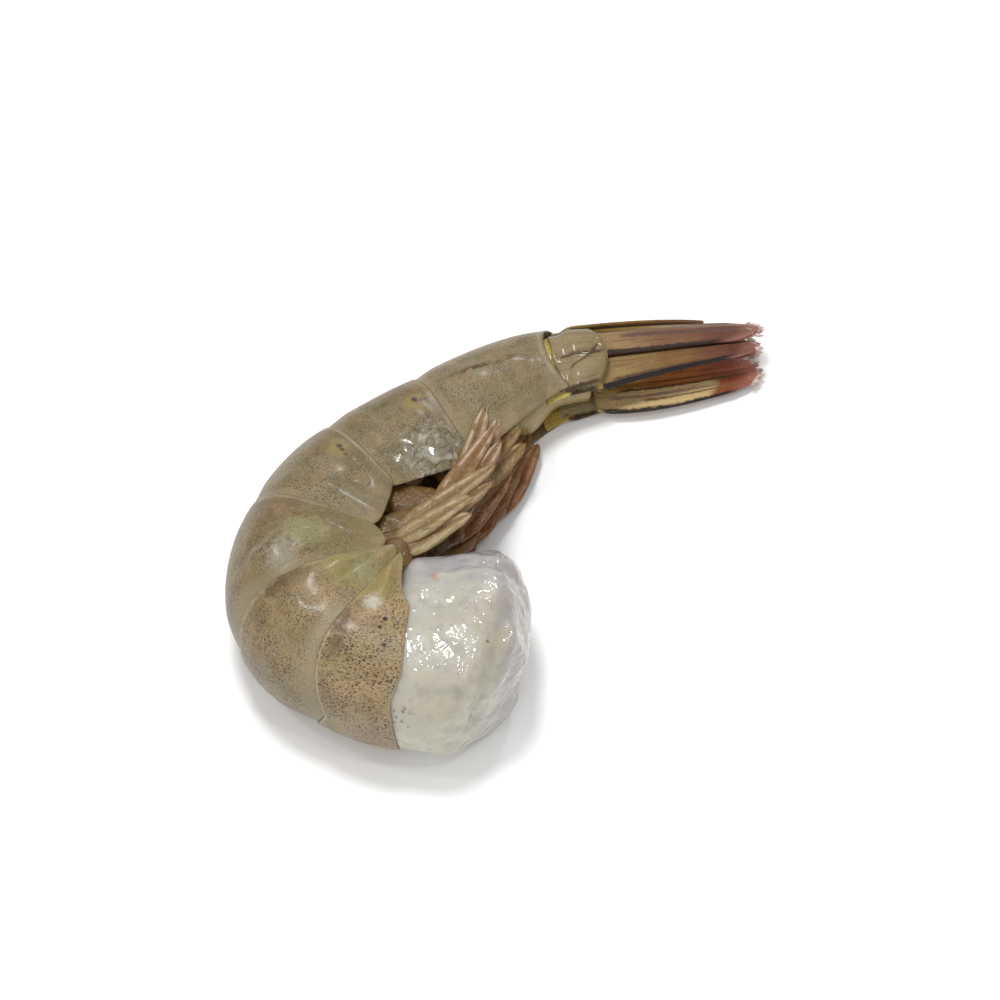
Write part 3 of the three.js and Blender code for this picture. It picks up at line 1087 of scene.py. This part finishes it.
# Small dark pigment dots, some larger than others, spread over the vector's first two axes
def makeDots():
    group, start, end = newGroup("pigmentDots", "Mask", ["Vector"], Spacing=0.5, Size=0.3, Share=0.9)
    inputs = {"Vector": start["Vector"], "Scale": figure("DIVIDE", 1 / mm, start["Spacing"])}
    cells = place("TexVoronoi", inputs, feature="F1", voronoi_dimensions="2D")
    chance = place("SeparateColor", {"Color": cells["Color"]})
    size = figure("MULTIPLY", start["Size"], fade(chance[0], 0, 1, 0.6, 1.3))
    dot = fade(cells["Distance"], size, figure("MULTIPLY", size, 0.5))
    setInputs(end, {"Mask": figure("MULTIPLY", dot, figure("LESS_THAN", chance[1], start["Share"]))})
    return group


# Soft uneven patches
def makePatches():
    group, start, end = newGroup("softPatches", "Mask", ["Vector"], Size=4.0, Edge=0.12)
    cloud = noise(start["Vector"], start["Size"], 3.0)
    low, high = figure("SUBTRACT", 0.5, start["Edge"]), figure("ADD", 0.5, start["Edge"])
    setInputs(end, {"Mask": fade(cloud, low, high)})
    return group


# The ripples of a wet film, as a height
def makeWetFilm():
    group, start, end = newGroup("wetFilm", "Height", ["Vector"], Fine=0.35, Coarse=1.6, Balance=0.5)
    fine, coarse = noise(start["Vector"], start["Fine"]), noise(start["Vector"], start["Coarse"])
    both = place("Mix", {0: start["Balance"], 2: fine, 3: coarse}, data_type="FLOAT")[0]
    setInputs(end, {"Height": both})
    return group


# A soft round spot at a place of the object
def makeSpot():
    group, start, end = newGroup("softSpot", "Mask", ["Vector", "Centre"], Radius=1.0, Ragged=0.3)
    cloud = noise(start["Vector"], 0.625)
    away = place("VectorMath", {0: start["Vector"], 1: start["Centre"]}, operation="DISTANCE")["Value"]
    away = figure("DIVIDE", figure("MULTIPLY", away, 1 / mm), start["Radius"])
    wobble = figure("MULTIPLY", figure("SUBTRACT", cloud, 0.5), start["Ragged"])
    setInputs(end, {"Mask": fade(figure("MULTIPLY_ADD", wobble, 3.0, away), 1.25, 0.35)})
    return group


# Streaks that run along a plate, drawn from its own attribute
def makeStreaks():
    group, start, end = newGroup("lengthStreaks", "Mask", ["Place"], Along=0.1, Across=14.0)
    along, side = separate(start["Place"])[:2]
    spread = combine(figure("MULTIPLY", along, start["Along"]), figure("MULTIPLY", side, start["Across"]))
    setInputs(end, {"Mask": noise(spread, 1 / mm, 3.0)})
    return group


# The creases of a crumpled wet skin, as a height
def makeCreases():
    group, start, end = newGroup("wetCreases", "Height", ["Vector"], Size=1.2)
    cloud = noise(start["Vector"], start["Size"], 3.0, Distortion=1.2)
    away = figure("ABSOLUTE", figure("SUBTRACT", cloud, 0.5))
    setInputs(end, {"Height": fade(away, 0.16, 0.0)})
    return group


pigmentDots = makeDots()
softPatches = makePatches()
wetFilm = makeWetFilm()
softSpot = makeSpot()
lengthStreaks = makeStreaks()
wetCreases = makeCreases()


def spotAt(here, centre, radius, ragged):
    return useGroup(softSpot, here, tuple(part * mm for part in centre), radius, ragged)


def newFinish(name):
    material = bpy.data.materials.new(name)
    material.use_nodes = True
    built["tree"] = material.node_tree
    return material, material.node_tree.nodes["Principled BSDF"], place("TexCoord", {})["Object"]


# Reads the piece's own attribute, whole and in its three parts.
def readPlace():
    where = place("Attribute", {}, attribute_name="place")["Vector"]
    return where, *separate(where)


# Lays the attribute out flat, so that dots stay round: along the body, then round the arch.
def flatPlace(where, girth):
    along, side = separate(where)[:2]
    return combine(figure("MULTIPLY", along, mm), figure("MULTIPLY", side, girth * mm))


def bumpFrom(shader, height, depth, socket="Normal"):
    bump = place("Bump", {"Height": height, "Distance": depth * mm, "Strength": 1.0})[0]
    setInputs(shader, {socket: bump})


shaderInputs = {
    "colour": "Base Color",
    "roughness": "Roughness",
    "specular": "Specular IOR Level",
    "ior": "IOR",
    "coat": "Coat Weight",
    "coatRoughness": "Coat Roughness",
    "subsurface": "Subsurface Weight",
    "radius": "Subsurface Radius",
    "scale": "Subsurface Scale",
}


def setShader(shader, **values):
    setInputs(shader, {shaderInputs[name]: value for name, value in values.items()})


shellLook = {
    "beige": (170, 149, 116),
    "olive": (153, 138, 100),
    "grey": (160, 148, 126),
    "pale": (168, 158, 138),
    "brown": (134, 110, 80),
    "fold": (150, 138, 86),
    "dot": (62, 40, 16),
    "line": (98, 74, 48),
    "rim": (178, 165, 138),
    # A thin dark line at each plate's rear edge: painted shade where it lies over the next plate
    "seamShade": (92, 68, 40),
    # ridge: the shell's purple-grey, darkened as painted shade along the ridge of the back
    "ridge": (148, 137, 122),
    # crumple: a painted highlight, the light colour laid on the fifth plate's crumpled wet corner
    "crumple": (186, 180, 166),
    "girth": 26,
}

# Each plate's own: the dots' spacing and strength, what its colour is multiplied by, where its pale
# front band ends, and how brown its rear is
plateLooks = {
    "somite_1": (0.38, 0.96, (1.08, 1.04, 0.92), (0.02, 0), 0.5),
    "somite_2": (0.36, 0.94, (0.9, 0.87, 0.74), (0.38, 0.22), 0.5),
    "somite_3": (0.34, 0.92, (0.74, 0.71, 0.57), (0.3, 0.18), 0.55),
    "somite_4": (0.35, 0.86, (0.74, 0.73, 0.62), (0.2, 0.12), 0.4),
    "somite_5": (0.35, 0.84, (0.7, 0.69, 0.57), (0.2, 0.12), 0.4),
    "somite_6": (0.35, 0.8, (0.8, 0.8, 0.7), (0.16, 0.08), 0.3),
}

# Marks on single plates, some pigment and some painted light and shade on the folds: their colour and
# strength, then each one's place, radius and raggedness
plateMarks = {
    "somite_1": [
        ((104, 78, 46), 0.9, (-19.2, -22.6, 19.4), 1.3, 0.5),
        ((104, 78, 46), 0.8, (-18.6, -21, 19.6), 1.2, 0.5),
        ((104, 78, 46), 0.7, (-19.4, -24.6, 18.9), 1.1, 0.5),
        ((150, 134, 76), 0.7, (-15.4, -16.8, 19.2), 3, 0.6),
        # A painted highlight on the first plate's fold
        ((198, 192, 178), 0.8, (-15.3, -19.4, 19.6), 1.2, 0.5),
        ((184, 148, 104), 0.55, (-10.3, -20.4, 18.7), 1.5, 0.7),
        ((24, 16, 10), 1, (-13.68, -21.73, 19.34), 0.34, 0.2),
        ((24, 16, 10), 1, (-14.26, -22.88, 19.4), 0.32, 0.2),
        ((24, 16, 10), 1, (-13.75, -25.13, 19.02), 0.3, 0.2),
    ],
    "somite_2": [
        # Painted shadow along the dark groove under a fold
        ((98, 78, 48), 0.8, (-27.5, -17.4, 18.6), 1.2, 0.6),
        ((98, 78, 48), 0.8, (-26.1, -16.2, 19.2), 1.2, 0.6),
        ((98, 78, 48), 0.7, (-24.6, -15, 19.4), 1.1, 0.6),
        ((150, 138, 80), 0.8, (-19, -14.4, 19.6), 3.2, 0.7),
        ((146, 142, 104), 0.6, (-16.4, -14.8, 19.3), 2.2, 0.6),
    ],
    "somite_3": [
        ((146, 142, 96), 0.7, (-23.8, -8.6, 18.4), 3.2, 0.7),
        # Painted light on the ridge of the third plate's front fold
        ((160, 154, 138), 0.5, (-26.4, -12.4, 18.8), 2.4, 0.7),
    ],
    "somite_4": [
        ((152, 132, 72), 0.7, (-20.2, 5.9, 14.5), 1.6, 0.7),
        ((44, 30, 16), 0.9, (-20.1, 6.2, 14.5), 0.5, 0.6),
        ((44, 30, 16), 0.8, (-19.6, 5.6, 14.6), 0.36, 0.6),
        ((44, 30, 16), 0.6, (-19.2, 4.8, 14.7), 0.3, 0.6),
    ],
    "somite_5": [
        ((152, 132, 72), 0.7, (-10.9, 14.4, 11.9), 1.6, 0.7),
        ((44, 30, 16), 0.9, (-10.7, 14.8, 11.8), 0.5, 0.6),
        ((44, 30, 16), 0.8, (-10.0, 14.9, 11.7), 0.36, 0.6),
        ((44, 30, 16), 0.6, (-9.4, 15.2, 11.6), 0.3, 0.6),
    ],
}

# The fifth plate's wet crumpled corner: where its coat shines and its creases lie, and where a painted
# highlight lightens its colour
crumple = {"centre": (-8.6, 6.9, 12), "radius": 4.4, "ragged": 0.9, "size": 2.6, "deep": 1.6}


def makeShellFinish(name):
    look = shellLook
    spacing, strength, shade, paleBand, brownRear = plateLooks[name]
    material, shader, here = newFinish(name + "Shell")
    where, along, side, share = readPlace()
    low = figure("ABSOLUTE", side)
    flat = flatPlace(where, look["girth"])

    streaks = useGroup(lengthStreaks, where, 0.5, 9.0)
    rear = product(band(share, 0.72, 0.97, 0.1), fade(noise(here, 2.6, 3), 0.34, 0.58))
    pale = product(fade(share, *paleBand), fade(low, 0.75, 0.45, 0.35, 1))
    colour = paint(
        blend(useGroup(softPatches, here, 4.0, 0.12), look["beige"], look["olive"]),
        (fade(noise(here, 2, 4), 0.46, 0.6, 0, 0.7), look["grey"]),
        (fade(streaks, 0.48, 0.66, 0, 0.5), look["brown"]),
        (product(rear, brownRear), look["brown"]),
        (product(pale, 0.65), look["pale"]),
        # Greyer along the ridge of the back: the shell's own purple-grey, with painted shade where the arch
        # turns away
        (fade(low, 0.22, 0.05, 0, 0.5), look["ridge"]),
    )
    if name in ("somite_1", "somite_2", "somite_3"):
        fold = product(fade(low, 0.64, 0.82), fade(noise(here, 2.2, 2), 0.36, 0.6))
        colour = blend(product(fold, 0.75), colour, look["fold"])
    if name == "somite_6":
        line = figure("ABSOLUTE", figure("SUBTRACT", side, 0.55))
        line = product(fade(line, 0.035, 0.012), band(along, 73, 83, 1.5))
        line = product(line, fade(noise(here, 1.2, 3), 0.38, 0.55))
        colour = blend(line, colour, look["line"])

    dots = useGroup(pigmentDots, flat, spacing, 0.33, 0.96)
    fine = useGroup(pigmentDots, flat, spacing * 0.57, 0.42, 0.85)
    dots = figure("MAXIMUM", dots, product(fine, 0.62))
    clear = figure("SUBTRACT", 1, product(pale, 0.75))
    crowd = fade(noise(here, 3.2, 3), 0.36, 0.6, 0.5, 1)
    rim = product(band(share, 0.95, 0.98, 0.012), fade(noise(here, 1.5, 2), 0.35, 0.55, 0.2, 0.7))
    colour = paint(
        colour,
        (product(dots, clear, crowd, fade(low, 0.98, 0.8, 0.35, 1), strength), look["dot"]),
        (rim, look["rim"]),
        # A thin dark line at the rear edge: painted shade where the plate lies over the next one
        (fade(share, 0.984, 0.992, 0, 0.65), look["seamShade"]),
    )
    colour = blend(1.0, colour, (*shade, 1), "MULTIPLY")
    for mark, visible, centre, radius, ragged in plateMarks.get(name, []):
        colour = blend(product(spotAt(here, centre, radius, ragged), visible), colour, mark)

    coat, coatRoughness = 0.15, 0.18
    height = useGroup(wetFilm, here, 0.5, 2.4, 0.5)
    if name == "somite_5":
        crumpled = spotAt(here, crumple["centre"], crumple["radius"], crumple["ragged"])
        # A painted highlight lightens the colour in patches of the crumpled corner, besides the real coat
        # shine
        paintedShine = product(crumpled, fade(noise(here, 1.8, 4), 0.4, 0.62, 0.1, 0.75))
        colour = blend(paintedShine, colour, look["crumple"])
        creases = useGroup(wetCreases, here, crumple["size"])
        height = figure("MULTIPLY_ADD", product(crumpled, creases), crumple["deep"], height)
        coat, coatRoughness = fade(crumpled, 0, 1, 0.15, 1), fade(crumpled, 0, 1, 0.2, 0.08)
    setShader(shader, colour=colour, roughness=0.46, specular=0.3, coat=coat, coatRoughness=coatRoughness)
    setShader(shader, subsurface=0.15, scale=0.0008, radius=(1, 0.8, 0.5))
    bumpFrom(shader, height, 0.2)
    return material


fleshLook = {
    "pearl": (198, 194, 182),
    "lavender": (172, 167, 170),
    "cream": (192, 187, 164),
    "lobe": (172, 165, 162),
    "rim": (170, 161, 145),
    "blot": (168, 163, 158),
    # A greenish cream, darkened as painted shade in the crease of the cut end
    "valleyShade": (182, 175, 144),
    "dot": (92, 88, 80),
    "tail": (158, 128, 76),
    "speck": (40, 30, 16),
    "orange": (182, 138, 92),
}

# The greenish valley between the cut end's main mass and its right lobe: a greenish cream, darkened as
# painted shade in the crease
valleyShade = [
    (-0.2, -23.3, 18.2), (-1.2, -26.2, 17.6), (-2.6, -28.4, 15.6), (-3.4, -29.8, 12.6), (-3.8, -30.8, 9),
]


def makeFleshFinish():
    look = fleshLook
    material, shader, here = newFinish("rawFlesh")
    x, y, z = separate(here)
    upper = product(fade(y, -18 * mm, -12 * mm), fade(noise(here, 3, 3), 0.3, 0.6, 0.3, 1))
    dots = useGroup(pigmentDots, combine(x, z), 0.75, 0.4, 0.7)
    colour = paint(
        look["pearl"],
        (product(useGroup(softPatches, here, 5.0, 0.16), 0.5), look["cream"]),
        (upper, look["lavender"]),
        (fade(y, -27 * mm, -31 * mm, 0, 0.8), look["cream"]),
        (fade(x, -1 * mm, 0.8 * mm, 0, 0.8), look["lobe"]),
        (fade(x, 1.8 * mm, 3.4 * mm, 0, 0.8), look["rim"]),
        # Painted shade in the crease between the main mass and the right lobe, in a greenish cream
        *((product(spotAt(here, centre, 1.9, 0.5), 0.5), look["valleyShade"]) for centre in valleyShade),
        (fade(noise(here, 1.5, 3), 0.5, 0.68, 0, 0.5), look["blot"]),
        (product(dots, spotAt(here, (-12.2, -31.2, 12.6), 2.4, 0.5), 0.7), look["dot"]),
        (fade(y, 0, 8 * mm), look["tail"]),
        (spotAt(here, (-1.2, -24.2, 18.5), 0.42, 0.4), look["speck"]),
        (product(spotAt(here, (-7.9, -14.6, 17.2), 0.7, 0.9), 0.7), look["orange"]),
    )
    setShader(shader, colour=colour, roughness=0.4, coat=1.0, coatRoughness=0.1, ior=1.38)
    setShader(shader, subsurface=1.0, scale=0.004, radius=(1, 0.9, 0.78))
    bumpFrom(shader, useGroup(wetFilm, here, 0.9, 2.2, 0.4), 0.12)
    bumpFrom(shader, noise(here, 1.5, 1), 0.5, "Coat Normal")
    return material


# The fan plates' colours from root to tip, their streaks, and the bands along them, from the edge
# nearest to the ridge of the back at 0 to the far edge at 1: start, end, colour, first and last share.
fanLooks = {
    "telson": {
        "colours": [(150, 124, 72), (134, 98, 36), (112, 72, 34)],
        "streak": (80, 52, 28),
        "bands": [(0, 0.2, (96, 74, 52), 0.1, 1), (0.45, 0.8, (146, 118, 62), 0.25, 0.85)],
    },
    "protopod_left": {
        "colours": [(150, 132, 96), (154, 136, 100), (144, 124, 84)],
        "streak": (122, 104, 78),
        "bands": [
            # A dark line along the protopod's groove: painted shade
            (0.4, 0.44, (66, 48, 26), 0.1, 1),
            (-0.1, 0.05, (72, 54, 32), 0.1, 1),
            (0.95, 1.1, (72, 54, 32), 0.1, 0.95),
            (-0.1, 1.1, (78, 60, 34), 0.94, 1),
        ],
    },
    # Paler than the left protopod: its own pale colour, laid on lighter as painted light because it lies in
    # the left one's shade
    "protopod_right": {
        "colours": [(190, 174, 134), (186, 170, 132), (176, 154, 108)],
        "streak": (122, 104, 78),
        "bands": [(0.92, 1.1, (84, 66, 42), 0.1, 0.95)],
    },
    "endopod_left": {
        "colours": [(156, 126, 84), (128, 86, 56), (108, 58, 42)],
        "end": (178, 124, 108),
        "streak": (78, 46, 34),
        "bands": [
            (-0.1, 0.3, (132, 102, 46), 0.02, 0.7),
            (-0.1, 0.3, (104, 72, 38), 0.5, 0.98),
            (0.08, 0.18, (150, 122, 58), 0.12, 0.6),
            (0.29, 0.36, (66, 44, 30), 0, 0.6),
            (0.9, 1.1, (50, 28, 14), 0.04, 0.85),
            (0.5, 0.6, (98, 72, 60), 0.2, 0.95),
        ],
    },
    # Seen from inside and lying in shade: its own yellow to maroon, laid on lighter than the left one's as
    # painted light
    "endopod_right": {
        "colours": [(246, 200, 100), (212, 124, 64), (168, 82, 54)],
        "end": (188, 126, 106),
        "streak": (104, 46, 28),
        "bands": [],
    },
    "exopod_left": {
        "colours": [(158, 130, 82), (138, 100, 54), (108, 58, 42)],
        "end": (178, 124, 108),
        "streak": (108, 76, 48),
        "bands": [(0.86, 1.2, (28, 18, 20), 0.02, 0.92), (0.8, 0.87, (90, 62, 38), 0.1, 0.8)],
    },
    # Seen from inside and lying in shade: its own yellow to maroon and cream panel, laid on lighter as
    # painted light
    "exopod_right": {
        "colours": [(232, 188, 92), (190, 112, 56), (150, 78, 50)],
        "end": (188, 126, 106),
        "streak": (104, 50, 30),
        "bands": [
            (0.5, 1.1, (222, 192, 138), 0, 0.74),
            (0.46, 0.52, (100, 70, 44), 0.15, 0.95),
            (0.62, 0.7, (168, 138, 112), 0.1, 0.75),
            (0.74, 0.8, (128, 98, 58), 0.3, 0.9),
            (0.94, 1.2, (30, 18, 8), 0.03, 0.98),
        ],
    },
    "tail_skin": {
        "colours": [(206, 180, 98)] * 3,
        "streak": (146, 120, 56),
        "bands": [
            (0.5, 1.1, (190, 172, 132), 0.45, 1.1),
            (0.95, 1.1, (70, 50, 26), 0.45, 1.1),
            (0.5, 1.1, (70, 50, 26), 0.94, 1.1),
        ],
    },
}
# fold: painted shade along the fold across the left protopod; speckle: pigment; girth lays the speckles out
# flat
fanMarks = {"fold": (74, 54, 30), "speckle": (70, 42, 22), "girth": 14}


def makeFanFinish(name):
    look = fanLooks[name]
    material, shader, here = newFinish(name + "Shell")
    where, along, side, share = readPlace()
    form = fan.get(name.split("_")[0], {"near": 0, "far": 1})
    near, far = max(form["near"], 0), form["far"]
    across = figure("DIVIDE", figure("SUBTRACT", figure("ABSOLUTE", side), near), far - near)
    wander = figure("MULTIPLY_ADD", noise(here, 3, 2), 0.3, figure("SUBTRACT", share, 0.15))
    ragged = figure("MULTIPLY_ADD", figure("SUBTRACT", noise(here, 0.8, 2), 0.5), 0.08, across)
    root, middle, tip = look["colours"]
    colour = paint(
        root,
        (fade(wander, 0.1, 0.5), middle),
        (fade(wander, 0.5, 0.85), tip),
        (fade(useGroup(lengthStreaks, where, 0.16, 34.0), 0.5, 0.68, 0, 0.55), look["streak"]),
    )
    for start, end, shade, first, last in look["bands"]:
        colour = blend(product(band(ragged, start, end, 0.03), band(share, first, last, 0.04)), colour, shade)
    colour = blend(fade(share, 0.84, 0.98, 0, 0.55), colour, look.get("end", tip))
    # A dark line along the fold across the left protopod: painted shade in its groove
    if name == "protopod_left":
        fold = figure("MULTIPLY_ADD", along, protopodFold["slope"], side)
        fold = figure("ABSOLUTE", figure("SUBTRACT", fold, protopodFold["offset"]))
        fold = product(fade(fold, 0.022, 0.01), band(along, *protopodFold["reach"], 0.3))
        colour = blend(product(fold, 0.85), colour, fanMarks["fold"])
    speckles = useGroup(pigmentDots, flatPlace(where, fanMarks["girth"]), 0.34, 0.3, 0.6)
    colour = blend(product(speckles, 0.35), colour, fanMarks["speckle"])
    setShader(shader, colour=colour, roughness=0.5, specular=0.2, coat=0.25, coatRoughness=0.12)
    ribs = useGroup(lengthStreaks, where, 0.1, 60.0)
    bumpFrom(shader, figure("MULTIPLY_ADD", ribs, 0.8, useGroup(wetFilm, here, 0.3, 1.2, 0.4)), 0.2)
    return material


# The legs' colours: the blade, its tip, and the painted highlight on the wet ribs and rims
legLooks = {
    "pleopod_1_left": [(156, 136, 88), (160, 142, 100), (210, 196, 160)],
    "pleopod_1_right": [(136, 108, 58), (142, 116, 70), (186, 166, 124)],
    "pleopod_2_left": [(150, 128, 78), (156, 134, 90), (208, 194, 158)],
    "pleopod_2_right": [(132, 98, 50), (138, 106, 60), (184, 156, 118)],
    "pleopod_3_left": [(142, 104, 50), (148, 116, 74), (216, 198, 178)],
    "pleopod_3_right": [(132, 92, 46), (138, 98, 56), (188, 158, 124)],
    "pleopod_4_left": [(142, 116, 60), (156, 132, 92), (222, 208, 188)],
    "pleopod_4_right": [(136, 94, 48), (140, 100, 58), (190, 160, 128)],
    "pleopod_5_left": [(140, 114, 60), (148, 124, 74), (190, 168, 126)],
    "pleopod_5_right": [(142, 98, 50), (146, 106, 62), (194, 164, 130)],
}
# hollow: painted shade in the blades' middle crease and at their rims
legShades = {"stalk": (108, 80, 34), "patch": (126, 90, 40), "hollowShade": (88, 58, 24), "line": (96, 66, 28)}


def makeLegFinish(name):
    blade, tip, ridge = legLooks[name]
    material, shader, here = newFinish(name + "Skin")
    across, share = readPlace()[2:]
    reach = figure("ABSOLUTE", across)
    onBlade = fade(share, 0, 0.1)
    # Darker in the middle crease and at the rims of the blades: painted shade
    hollowShade = figure("MAXIMUM", fade(reach, 0.2, 0.0), fade(reach, 0.86, 0.98))
    # A painted highlight: pale along the crests of the blades' two wet folds
    ribHighlight = product(band(reach, 0.42, 0.66, 0.12), fade(noise(here, 1.6, 3), 0.38, 0.58))
    lines = useGroup(lengthStreaks, combine(share, across), 2.0, 14.0)
    colour = paint(
        legShades["stalk"],
        (fade(share, 0.0, 0.25), blade),
        (fade(share, 0.55, 0.95), tip),
        (product(useGroup(softPatches, here, 1.8, 0.14), 0.45), legShades["patch"]),
        (product(hollowShade, onBlade, 0.6), legShades["hollowShade"]),
        (product(ribHighlight, fade(share, 0.02, 0.3), 0.6), ridge),
        (product(fade(lines, 0.46, 0.62, 0, 0.6), onBlade), legShades["line"]),
    )
    setShader(shader, colour=colour, roughness=0.4, specular=0.15, coat=0.6, coatRoughness=0.04)
    setShader(shader, subsurface=0.3, scale=0.001)
    film = useGroup(wetFilm, here, 0.35, 0.9, 0.5)
    bumpFrom(shader, film, 0.4)
    bumpFrom(shader, film, 0.5, "Coat Normal")
    return material


def makeSkinFinish():
    material, shader, here = newFinish("bellySkin")
    y = separate(here)[1]
    colour = blend(useGroup(softPatches, here, 3.0, 0.16), (146, 110, 52), (176, 142, 82))
    # Yellow-olive where y passes 9 to 15 mm: the skin's own tint, made lighter as painted light where it lies
    # in the flank's shade
    colour = blend(fade(y, 9 * mm, 15 * mm), colour, (176, 154, 100))
    setShader(shader, colour=colour, roughness=0.36, specular=0.2, coat=0.6, coatRoughness=0.06)
    setShader(shader, subsurface=0.2, scale=0.001)
    bumpFrom(shader, useGroup(wetFilm, here, 0.4, 1.4, 0.5), 0.35)
    return material


def makeFringeFinish():
    material, shader, here = newFinish("tailBristles")
    colour = blend(fade(noise(here, 1.2, 3), 0.4, 0.6), (168, 118, 104), (206, 184, 174))
    setShader(shader, colour=colour, roughness=0.3, coat=0.6, coatRoughness=0.1)
    return material


def wear(piece, material):
    piece.data.materials.clear()
    piece.data.materials.append(material)


view = {"elevation": 58, "target": (0.085, 2.153, 8), "distance": 450, "lens": 128.6}


def placeCamera():
    camera = bpy.data.objects.new("camera", bpy.data.cameras.new("camera"))
    bpy.context.collection.objects.link(camera)
    rise = math.radians(view["elevation"])
    away = Vector((0, -math.cos(rise), math.sin(rise)))
    camera.location = (Vector(view["target"]) + away * view["distance"]) * mm
    camera.rotation_euler = (math.pi / 2 - rise, 0, 0)
    camera.data.lens = view["lens"]
    camera.data.sensor_width = 36
    camera.data.clip_start = 0.01
    bpy.context.scene.camera = camera


# Each light's power in watts, and its size and place in metres. All face the shrimp.
lights = {
    "softbox": (1.05, 0.1, (-0.06, 0.08, 0.42)),
    "rim": (0.3, 0.045, (0.12, 0.33, 0.23)),
    "glint": (0.16, 0.04, (0.08, -0.1, 0.42)),
    "spark": (0.16, 0.04, (-0.2, -0.02, 0.37)),
    "fill": (4.5, 1.5, (-0.25, -0.7, 0.45)),
}
lit = Vector((0, 0, 0.01))
studio = {"floor": 3, "pale": (0.9, 0.9, 0.9, 1), "sky": (1, 1, 1, 1), "strength": 0.5}


def placeLights():
    for name, (power, size, location) in lights.items():
        light = bpy.data.lights.new(name, "AREA")
        light.energy = power
        light.shape = "DISK"
        light.size = size
        lamp = bpy.data.objects.new(name, light)
        bpy.context.collection.objects.link(lamp)
        lamp.location = location
        lamp.rotation_euler = (Vector(location) - lit).to_track_quat("Z", "Y").to_euler()


def setStage():
    deselectAll()
    bpy.ops.mesh.primitive_plane_add(size=studio["floor"])
    floor = bpy.context.object
    floor.name = "floor"
    material, shader = newFinish("paleFloor")[:2]
    setShader(shader, colour=studio["pale"], roughness=0.7, specular=0.2)
    wear(floor, material)
    world = bpy.data.worlds.new("studio")
    bpy.context.scene.world = world
    world.use_nodes = True
    sky = world.node_tree.nodes["Background"].inputs
    sky["Color"].default_value = studio["sky"]
    sky["Strength"].default_value = studio["strength"]
    placeLights()
    bpy.context.scene.view_settings.view_transform = "Standard"


def hand(piece, node, material):
    wear(piece, material)
    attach(piece, "root")
    if node:
        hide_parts(node)


placeCamera()
setStage()

names = ["neck"] + list(plateLooks)
for upper, name in zip(names, names[1:]):
    hand(makePlate(name, upper), name, makeShellFinish(name))
print("plates made")

hand(makeFlesh(), "flesh", makeFleshFinish())
hand(makeBellySkin(), None, makeSkinFinish())
print("flesh made")

hand(makeFanPlate("telson", "telson", 1), "telson", makeFanFinish("telson"))
for kind in ("protopod", "endopod", "exopod"):
    for label, sign in (("left", 1), ("right", -1)):
        name = f"{kind}_{label}"
        hand(makeFanPlate(name, kind, sign), name, makeFanFinish(name))
hand(makeTailSkin(), None, makeFanFinish("tail_skin"))
hand(makeFringe(), None, makeFringeFinish())
print("tail fan made")

for name in legShapes:
    hand(makeLeg(name), name, makeLegFinish(name))
print("legs made")

for guide in [thing for thing in bpy.data.objects if thing.type in ("LATTICE", "CURVE")]:
    bpy.data.objects.remove(guide)
